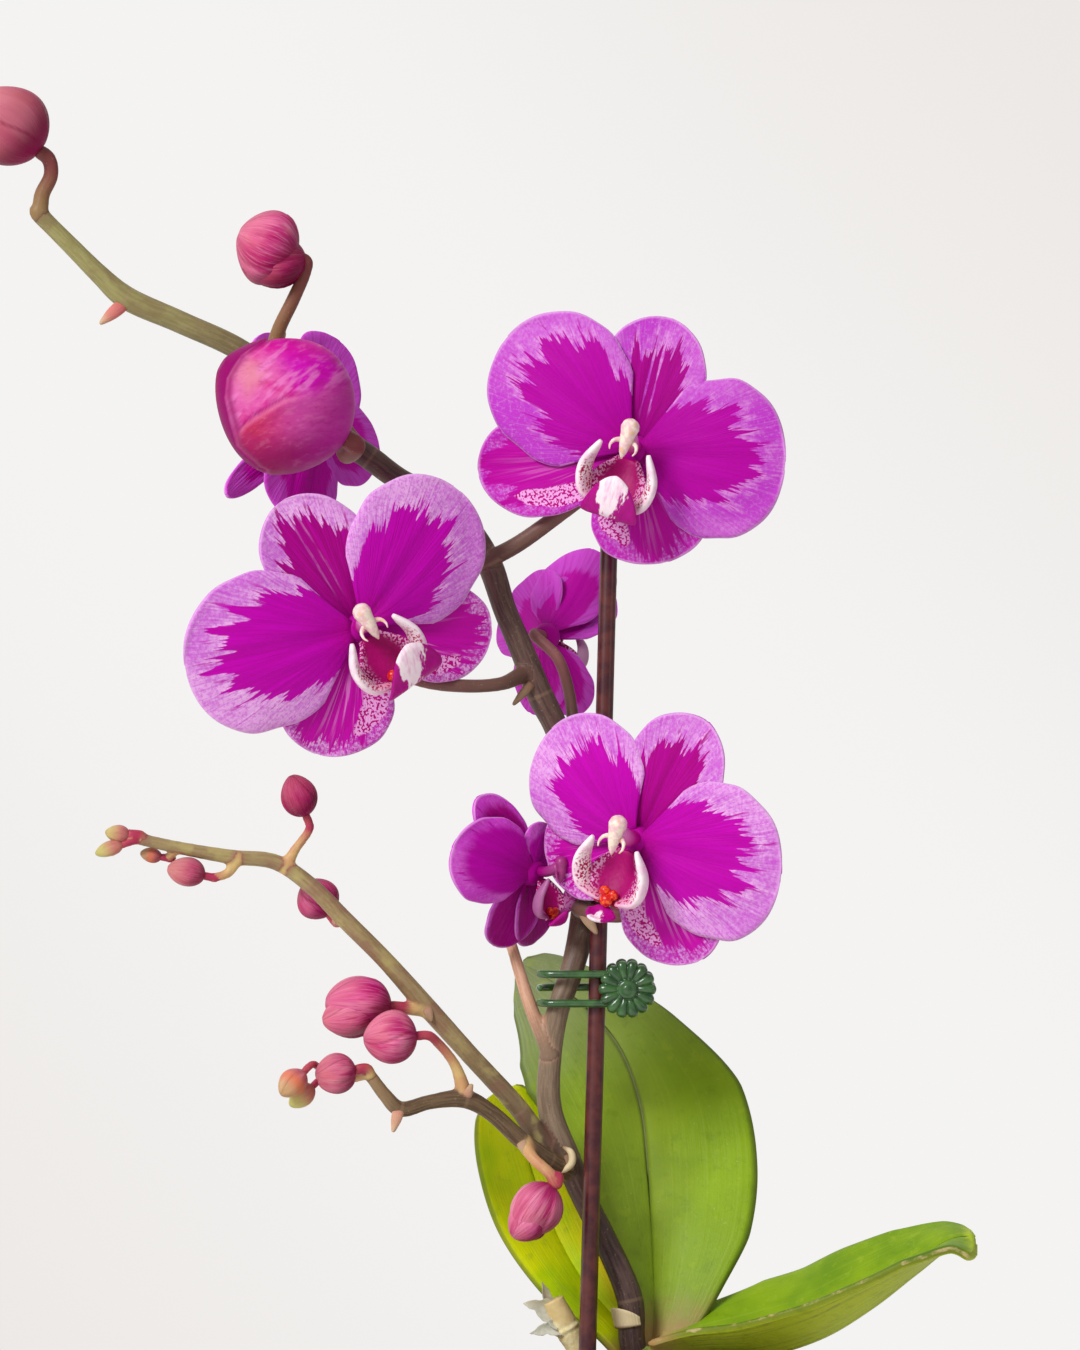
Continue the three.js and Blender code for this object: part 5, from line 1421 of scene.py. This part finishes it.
# %% The leaves' layout: across, up, depth, left half, right half and fold
LEAVES = {
    "leaf_tall": ((0.1, -1, 0.35), 0.0, 0, [
        (6.2, 82, 5, 7, 7, 50), (6.6, 92, 8, 8, 14, 42), (6.2, 103, 12, 10, 20.5, 32),
        (5.4, 117.4, 18, 14, 22.5, 20), (4, 131, 23, 20, 21, 12), (0, 142.5, 27, 22, 13.5, 8),
        (-7, 151, 30, 19, 8.4, 6), (-15, 157, 32.5, 11, 5.6, 6), (-19.6, 159.6, 34, 4.5, 3, 4),
    ]),
    "leaf_left": ((0.35, -1, 0.45), 1.0, 0, [
        (4.4, 80, 6, 6, 5, 46), (-1, 88, 9, 8, 7, 40), (-8, 96.6, 12, 11, 10, 30),
        (-14.4, 108.6, 15.6, 13, 12, 22), (-18.6, 120.6, 18.6, 12, 11, 16),
        (-20.6, 129.4, 20.4, 9.5, 8, 12), (-21.6, 135.2, 21.6, 4, 3.6, 10),
    ]),
    "leaf_right": ((-0.1, -0.28, 1), 2.0, 25, [
        (7.4, 80.6, 0.6, 6, 6, 50), (16, 81.6, -2, 12.6, 9, 46), (28, 82, -5, 19.6, 12, 40),
        (40, 85.6, -8, 20.4, 13.4, 34), (50, 91.6, -10, 18.6, 13, 30), (59, 98.6, -11.4, 14, 11.6, 24),
        (66, 103.8, -12, 9.6, 11, 8), (71, 104.8, -12.2, 7.6, 11, -14),
    ]),
}


def leaf_finish():
    leaf = Finish("leaf_skin")
    along, across, front, kind = leaf.fields("along", "across", "front", "kind")
    stripe = leaf.noise((across * 22, along * 1.5, kind * 5), 1.0, 2.0)
    cloud = leaf.clouds(0.045, 3.0, 0.6)
    mottle = leaf.clouds(0.3, 4.0, 0.65)
    dust = leaf.clouds(1.5, 2.0).between(0.7, 0.76)
    left, right = kind.between(0.4, 0.6), kind.between(1.4, 1.6)  # the tall leaf's colour lies under both
    midrib = abs(across).between(0.06, 0.0)
    # painted shade on the tall leaf's left half, above its foot
    shade = across.between(0.3, -0.3) * along.between(0.05, 0.3)
    tall = leaf.mix(cloud.between(0.4, 0.62), (136, 164, 34), (154, 184, 36)).under(
        (shade * 0.5, (120, 146, 44)),
        (across.between(0.05, 0.5) * 0.6, (120, 154, 8)),
        (along.between(0.5, 0.9) * 0.8, (134, 144, 108)),
        (along.between(0.2, 0.0) * 0.7, (136, 140, 84)),
    )
    lime = leaf.mix(cloud.between(0.35, 0.6), (172, 206, 0), (216, 226, 0)).under(
        (across.between(0.1, 0.8) * along.between(0.75, 0.3), (244, 200, 10)),
    )
    fresh = leaf.mix(cloud.between(0.35, 0.6), (98, 136, 4), (130, 162, 6))
    purple = (stripe + mottle * 0.6).between(0.86, 0.98) * across.between(0.3, 0.9)
    darker = mottle.between(0.46, 0.3) * abs(kind - 1).between(0.1, 0.5) * 0.2
    ripe = right * (along + mottle * 0.1).between(0.96, 1.02)
    cream_edge = right * (across + mottle * 0.12).between(1.055, 1.075)
    cream = leaf.mix(mottle, (150, 104, 76), (222, 206, 150))
    foot = leaf.mix(mottle, (182, 118, 66), (182, 160, 118))
    colour = leaf.mix(mottle, (152, 168, 26), (180, 192, 50)).under(
        (stripe.between(0.48, 0.7) * 0.5, (92, 116, 22)),
        (purple * 0.6, (104, 78, 60)),
        (front, tall.under((left, lime), (right, fresh))),
        (stripe.between(0.52, 0.7) * 0.14, (168, 192, 70)),
        (darker, (78, 106, 6)),
        (mottle.between(0.56, 0.7) * 0.35, (154, 178, 42)),
        (dust * 0.2, (200, 208, 160)),
        (midrib * along.between(0.97, 0.7) * front * 0.7, (142, 146, 108)),
        (abs(across).between(0.93, 0.985) * 0.65, (72, 88, 30)),
        (ripe * 0.6, (186, 204, 40)),
        (cream_edge * 0.7, cream),
        ((along + mottle * 0.1).between(0.2, 0.06) * 0.8, foot),
    )
    relief = stripe * 0.5 + mottle * 0.7 - midrib * 2
    return leaf.wear(colour, 0.4 + mottle * 0.16, relief, 0.25, Specular_IOR_Level=0.17)


leaf_skin = leaf_finish()


# %% Make the leaves
LEAF_STEPS, LEAF_THICK = 90, 1.8
LEAF_END = 0.06  # the share of its length over which it narrows to its tip


def leaf(name, facing, kind, curl, midrib):
    """A leaf round its midrib's rows, its upper face towards facing and its right edge rolled by curl."""
    midrib = np.array(midrib, float)
    line = curve(at(midrib), LEAF_STEPS + 1)
    left, right, fold = (smooth(midrib[:, k], LEAF_STEPS + 1, 6.0) for k in (3, 4, 5))
    end = np.clip((1 - np.linspace(0, 1, LEAF_STEPS + 1)) / LEAF_END, 0, 1)
    left, right = (np.maximum(0.05, half * (0.25 + 0.75 * end**0.5)) for half in (left, right))
    along = unit(np.gradient(line, axis=0))
    over = unit(np.cross(along, unit(np.array(facing, float))))
    up = np.cross(over, along)

    def surface(s, t):
        row = np.rint(s * LEAF_STEPS).astype(int)
        half = np.where(t < 0, left[row], right[row]) * np.abs(t)
        rolled = np.where(t > 0, curl * t * (1 - s**4), 0)
        tilt = np.radians(fold[row] * (1 - 0.35 * np.abs(t)) + rolled)
        wave = 0.35 * np.sin(9 * s + 4 * t) * t**2 - 0.35 * bump(t, 0.05)
        flat, high = np.sign(t) * half * np.cos(tilt), half * np.sin(tilt) + wave
        return reached(line[row], (flat, over[row]), (high, up[row]))

    made = blade(surface, LEAF_STEPS, 60, LEAF_THICK, rim=0.3, fields={"kind": np.float64(kind)})
    return fine(name, [made], leaf_skin)


for name, form in LEAVES.items():
    made = leaf(name, *form)
    print(made.name, len(made.data.polygons), "faces")

# %% [markdown]
# Leaves and spike rise from a short crown of old leaf bases, and thick roots leave it for the bark. A
# spike that was cut off last season has left a straw-coloured stump, with shreds of its dry sheath.

# %% Crown, roots and stump
CROWN = [(5.5, 60, 3, 6), (5.5, 68, 3, 8.5), (5.5, 75, 3, 9), (5.6, 80, 3, 6.8), (6, 83, 3.4, 3.4)]
ROOTS = {
    "root_front": [
        (1.5, 72, -4, 2.2), (-1.4, 78.4, -15, 2.2), (-4, 77.6, -23, 2.1), (-6, 70, -29, 2),
        (-7, 60, -31, 1.6),
    ],
    "root_right": [
        (11, 73, -1, 2.3), (19, 78.4, -8, 2.2), (26, 76.4, -14, 2.1), (30, 69, -15, 2),
        (31, 59, -15, 1.6),
    ],
    "root_back": [
        (10, 73, 8, 2.3), (15, 79.4, 17, 2.2), (17, 78, 25, 2.1), (17, 70, 29, 2),
        (17, 60, 30, 1.6),
    ],
    "root_left": [
        (0, 73, 6, 2.2), (-9, 79.4, 13, 2.1), (-18, 78.4, 17, 2.1), (-25, 72, 19, 2),
        (-27, 62, 20, 1.6),
    ],
}
STUMP = [(-6.4, 72, -3, 2.3), (-8.4, 82.4, -3.4, 2.2), (-11, 87.4, -3.8, 2.6), (-13.4, 92.4, -4.2, 2.1)]


def layered_finish(name, first, second, third, size, roughness, depth):
    """A mottled skin of three colours, with a relief of the same mottling."""
    made = Finish(name)
    mottle = made.clouds(size, 4.0, 0.62)
    broad = made.clouds(size * 0.16, 2.0).between(0.5, 0.66)
    colour = made.mix(mottle.between(0.36, 0.64), first, second).under((broad * 0.8, third))
    return made.wear(colour, roughness, mottle, depth)


STUMP_JOINT = 0.62  # the share of the stump's length


def knots(share):
    return 1 + 0.06 * np.sin(23 * share)


def stump_swell(share):
    past = share - STUMP_JOINT
    return 1 + 0.07 * np.cos(past * 60) * bump(past, 0.06)


root_skin = layered_finish("root_skin", (138, 142, 116), (186, 188, 162), (110, 140, 84), 1.4, 0.75, 0.2)
crown_skin = layered_finish("crown_skin", (96, 112, 40), (140, 148, 66), (188, 120, 62), 0.9, 0.55, 0.3)
stump_skin = layered_finish("stump_skin", (224, 206, 146), (240, 228, 182), (206, 178, 118), 0.8, 0.6, 0.2)
for name, rows in ROOTS.items():
    fine(name, [limb(rows, count=48, sides=20, swell=knots)], root_skin)
fine("crown", [limb(CROWN, count=40, sides=40)], crown_skin)
fine("old_spike_stump", [limb(STUMP, count=60, sides=24, swell=stump_swell)], stump_skin)


def shred(foot, tip, width, twist):
    """A torn strip of dry sheath that curls away from the stump."""
    foot, tip = at(foot), at(tip)
    over = unit(np.cross(tip - foot, (0.3, -1.0, 0.2)))
    out = unit(np.cross(over, tip - foot))

    def surface(s, t):
        torn = 0.1 * np.sin(15 * s + 2 * twist) * np.abs(t) + 0.04 * np.sin(31 * s + 4 * t)
        half = width / 2 * (1 - s**1.8 + torn * arch(s))
        curl = 1.4 * np.sin(2.4 * s + twist) * s + 0.9 * t**2 * (1 - s)
        sway = 0.8 * np.sin(3 * s + twist) * s + half * t
        return reached(foot, (s, tip - foot), (sway, over), (curl, out))

    return blade(surface, 30, 14, thickness=0.22)


SHREDS = [  # foot, tip, width and twist
    ((-11.6, 88.6, -4.6), (-19.4, 91.8, -4), 5.4, 0.4),
    ((-11.8, 87, -5), (-18, 86.6, -6), 3.6, 2.0),
    ((-12.6, 90, -4), (-16.6, 95.4, -3.4), 3.0, 5.0),
]
shred_skin = layered_finish("dry_sheath", (176, 176, 158), (200, 198, 180), (164, 154, 124), 0.5, 0.7, 0.1)
piece("stump_shreds", [shred(*form) for form in SHREDS], shred_skin)
print("roots", len(ROOTS))

# %% [markdown]
# The stake is a thin rod with a smooth, dark red-brown coat. A plain limb with rounded ends is enough,
# and its clear coat gives the long highlight that runs down it.

# %% Stake
STAKE = [(-8.4, 12, -13), (-2, 251, 6.4)]
STAKE_RADIUS, STAKE_END = 1.75, 0.9


def coat_finish(name, deep, light, **constants):
    coated = Finish(name)
    mottle, grain = coated.clouds(0.35, 3.0), coated.clouds(3.0, 2.0)
    colour = coated.mix(mottle.between(0.35, 0.65), deep, light)
    return coated.wear(colour, 0.26 + grain * 0.12, grain, 0.03, **constants)


stake_coat = coat_finish("stake_coat", (64, 10, 24), (92, 36, 32), Coat_Weight=0.3, Coat_Roughness=0.15)
stake_radii = np.full(60, STAKE_RADIUS)
stake_radii[[0, -1]] = STAKE_END
fine("stake", [tube(curve(at(STAKE), 60), stake_radii, 28)], stake_coat)
print("stake radius", STAKE_RADIUS)

# %% [markdown]
# The clip is a small moulded one that grips like a hair clip: two jaws on a steel pin, each with a daisy to
# press on. A daisy is a skin over rings whose radius and height follow the petals round, with a
# dimpled button in the middle. The rear jaw and all on it ride on their own body.

# %% The clip's pieces
HINGE = np.array([-0.2, 0.0, 154.8])
DAISY = [  # its rings: radius, how far out, and how proud the petals are
    (0.88, 0.0, 0.2), (0.95, 0.15, 0.7), (0.99, 0.5, 1), (1.0, 0.9, 1), (0.97, 1.35, 1), (0.9, 1.68, 1),
    (0.78, 1.85, 1), (0.62, 1.86, 0.95), (0.48, 1.75, 0.8), (0.38, 1.55, 0.5), (0.34, 1.4, 0.1),
    (0.335, 1.9, 0), (0.3, 2.25, 0), (0.22, 2.38, 0), (0.17, 2.2, 0), (0.12, 2.42, 0), (0.05, 2.5, 0),
]


DAISY_PETALS, DAISY_RADIUS, DAISY_OUT = 14, 5.8, 4.4  # the last is how far its back is from the pin
DAISY_ALONG, ARM_ALONG = 1.6, 0.3  # how far past the pin their middles are
PRONG = [(1.0, 4.6), (-3, 4.5), (-7, 4.25), (-11.6, 4.1), (-14.4, 3.4), (-16, 1.4), (-15.9, -0.4)]
PRONG_RADII = [0.8, 0.8, 0.8, 0.8, 0.8, 0.752, 0.56]
ARM = [(0.9, 0.8), (2, 0.85), (3.6, 0.95), (4.9, 1.1)]  # how far from the pin, and radius


def daisy(side):
    """Rings over a front, side -1, or a rear, side 1, whose petals stand proud of the gaps between."""
    angle = angles(DAISY_PETALS * 14)
    dip = 1 - np.abs(np.cos(DAISY_PETALS / 2 * angle)) ** 0.55
    made = []
    for radius, depth, proud in DAISY:
        reach = DAISY_RADIUS * radius * (1 - 0.13 * proud * dip)
        high = DAISY_OUT + depth - 0.62 * proud * dip
        x = HINGE[0] + DAISY_ALONG + reach * np.cos(angle)
        made.append(np.column_stack([x, side * high, HINGE[2] + reach * np.sin(angle)]))
    made = np.array(made)
    return skin(made if side > 0 else made[:, ::-1])


def prong(side, height):
    line = curve([(x, side * y, HINGE[2] + height) for x, y in PRONG], 60)
    radii = np.interp(np.linspace(0, 6, 60), range(7), PRONG_RADII)
    radii[-1] *= 0.5
    return tube(line, radii, 18)


def barrel(low, high):
    """One knuckle round the pin, with small round corners."""
    line = np.array([(HINGE[0], 0, HINGE[2] + z) for z in (low, low + 0.15, high - 0.15, high)])
    return tube(line, np.array([0.88, 1, 1, 0.88]) * KNUCKLE, 28)


def arm(side, low, high):
    """The flat web between a knuckle and the daisy."""
    line = np.array([(HINGE[0] + ARM_ALONG, side * y, HINGE[2] + (low + high) / 2) for y, _ in ARM])
    return tube(line, np.array([radius for _, radius in ARM]), 20, up=(0, 0, 1), flat=(high - low) / 1.8)


clip_green = coat_finish("clip_green", (28, 70, 30), (52, 98, 44), Coat_Weight=0.6, Coat_Roughness=0.1)
KNUCKLE = 1.35  # radius
FRONT_KNUCKLES, REAR_KNUCKLES = [(2.2, 3.6), (-3.6, -1.5)], [(-1.2, 0.4)]  # lower and upper ends
FRONT_PRONGS, REAR_PRONGS = [2.9, -2.9], [0]


def jaw(side, prongs, knuckles):
    """All the parts of one jaw: side -1 is the front, 1 the rear."""
    made = [daisy(side)] + [prong(side, height) for height in prongs]
    made += [barrel(*ends) for ends in knuckles]
    return made + [arm(side, *ends) for ends in knuckles]


fine("clip_front", jaw(-1, FRONT_PRONGS, FRONT_KNUCKLES), clip_green)
fine("clip_rear", jaw(1, REAR_PRONGS, REAR_KNUCKLES), clip_green, body="clip_jaw")
steel = Finish("bright_steel")
steel_colour = steel.mix(steel.clouds(2.5, 2.0), (168, 168, 170), (206, 206, 208))
steel_skin = steel.wear(steel_colour, 0.3, Metallic=1.0)
for name in ("clip_pin", "clip_spring"):
    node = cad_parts[name]
    node.data.materials.clear()
    node.data.materials.append(steel_skin)
print("clip hinge", HINGE)

# %% [markdown]
# The pot stands out of the picture, so it is a plain one: a tapered wall, a thick rolled rim over a
# band, and four holes in its floor. A lathe profile with small round corners makes it, and one
# Boolean cuts the holes. The bark is a mound of coarse chips, every one a box with its corners worn
# off and its grain along its length.

# %% Pot
POT = {"foot": 35, "rim": 44, "height": 76, "wall": 4, "floor": 5, "band": 62}  # the band is a height


def pot_radius(height):
    return POT["foot"] + (POT["rim"] - POT["foot"]) * height / POT["height"]


BAND, INNER = pot_radius(POT["band"]), pot_radius(POT["floor"]) - POT["wall"]
POT_PROFILE = [
    (0, 0), (34, 0), (35.3, 0.6), (pot_radius(2) + 0.6, 2), (pot_radius(60), 60), (BAND, 61.2),
    (BAND + 1.6, 62.6), (BAND + 2, 63.6), (45.6, 73.4), (45.9, 74.8), (45.3, 75.8), (44.4, 76),
    (42.8, 76), (41.8, 75.5), (41.4, 74.4), (BAND - POT["wall"], 62), (INNER, 5.6), (INNER - 1, 5), (0, 5),
]
HOLES, HOLE_RING, HOLE_RADIUS = 4, 20, 4.0


def turned(profile, sides):
    """A profile of radii and heights, turned as on a lathe."""
    angle = angles(sides)
    made = []
    for radius, height in profile:
        radius = max(radius, 0.01)
        made.append(np.column_stack([radius * np.cos(angle), radius * np.sin(angle), np.full(sides, height)]))
    return skin(np.array(made))


def pot_finish():
    glaze = Finish("pot_glaze")
    speckle = glaze.clouds(0.9, 2.0, 0.5).between(0.68, 0.74)
    cloud = glaze.clouds(0.03, 3.0)
    colour = glaze.mix(cloud, (222, 217, 206), (236, 232, 224)).under((speckle * 0.45, (176, 160, 138)))
    return glaze.wear(colour, 0.3 + cloud * 0.15, cloud, 0.3, Coat_Weight=0.25, Coat_Roughness=0.2)


pot = fine("pot", [turned(POT_PROFILE, sides=128)], pot_finish())
drills = []
for k in range(HOLES):
    angle = (k + 0.5) / HOLES * 2 * math.pi
    x, y = HOLE_RING * math.cos(angle), HOLE_RING * math.sin(angle)
    drills.append(tube(np.array([(x, y, -3.0), (x, y, 9.0)]), HOLE_RADIUS, 32, up=(1, 0, 0)))
drill = placed("drills", mesh_of("drills", drills))
cut = pot.modifiers.new("holes", "BOOLEAN")
cut.object, cut.solver = drill, "EXACT"
pot.data = baked(pot)
pot.modifiers.clear()
bpy.data.objects.remove(drill)
print("pot", len(pot.data.polygons), "faces")


# %% Bark
MOUND = [(0, 5.3), (30.9, 5.3), (38, 62), (38.3, 67), (24, 72), (0.01, 74)]  # radius and height
CHIPS, CHIP_STEPS, CHIP_SIDES = 150, 7, 16
CHIP_SIZES = ((7, 15), (4, 8), (2.5, 4.5))  # the limits of its length, width and height
MOUND_REACH, MOUND_TOP, MOUND_EDGE = 37.5, 75, 69


def bark_finish():
    bark = Finish("bark_chip")
    grain, wide, tone = bark.fields("grain", "wide", "tone")
    cork = bark.noise((grain * 1.2, wide * 4, tone * 9), 1.0, 4.0, 0.7)
    rough = bark.clouds(1.1, 4.0, 0.7)
    colour = bark.mix(tone, (74, 44, 28), (150, 96, 58)).under(
        (cork.between(0.4, 0.65) * 0.6, (52, 32, 22)),
        (rough.between(0.58, 0.75) * 0.5, (186, 140, 96)),
    )
    return bark.wear(colour, 0.9, cork * 0.6 + rough * 0.4, 0.7)


def chip(middle, long, wide, high, turns, tone):
    """A box with its corners worn off, rocked, tipped and spun by turns."""
    s, t = np.meshgrid(np.linspace(-1, 1, CHIP_STEPS), angles(CHIP_SIDES), indexing="ij")
    square = (np.abs(np.cos(t)) ** 5 + np.abs(np.sin(t)) ** 5) ** -0.2
    taper = (1 - np.abs(s) ** 6 * 0.35) * (1 + 0.1 * draw.standard_normal(s.shape))
    ragged = s * long / 2 * (1 + 0.06 * draw.standard_normal(s.shape))
    over, up = np.cos(t) * square * taper * wide / 2, np.sin(t) * square * taper * high / 2
    (cx, cy, cz), (sx, sy, sz) = np.cos(turns), np.sin(turns)
    rock = np.array([[1, 0, 0], [0, cx, -sx], [0, sx, cx]])
    tip = np.array([[cy, 0, sy], [0, 1, 0], [-sy, 0, cy]])
    spin = np.array([[cz, -sz, 0], [sz, cz, 0], [0, 0, 1]])
    places = np.stack([ragged, over, up], -1) @ (spin @ tip @ rock).T + np.array(middle)
    made = skin(places, {"tone": tone})
    made[2]["grain"] = np.append(ragged.ravel(), [-long / 2, long / 2])
    made[2]["wide"] = np.append(over.ravel(), [0, 0])
    return made


chips = [turned(MOUND, sides=64)]
for index in range(CHIPS):
    share = math.sqrt((index + 0.5) / CHIPS)
    angle = index * math.pi * (3 - math.sqrt(5)) + draw.uniform(-0.15, 0.15)
    long, wide, high = (draw.uniform(*limits) for limits in CHIP_SIZES)
    reach = share * (MOUND_REACH - long * 0.33)
    height = MOUND_TOP + (MOUND_EDGE - MOUND_TOP) * share**2 + draw.uniform(-1.5, 1.6)
    turns = (draw.uniform(-0.5, 0.5), draw.uniform(-0.35, 0.35), draw.uniform(0, math.pi))
    middle = (reach * math.cos(angle), reach * math.sin(angle), height)
    chips.append(chip(middle, long, wide, high, turns, draw.uniform(0, 1)))
bark = fine("bark", chips, bark_finish())
print("bark chips", CHIPS, "faces", len(bark.data.polygons))
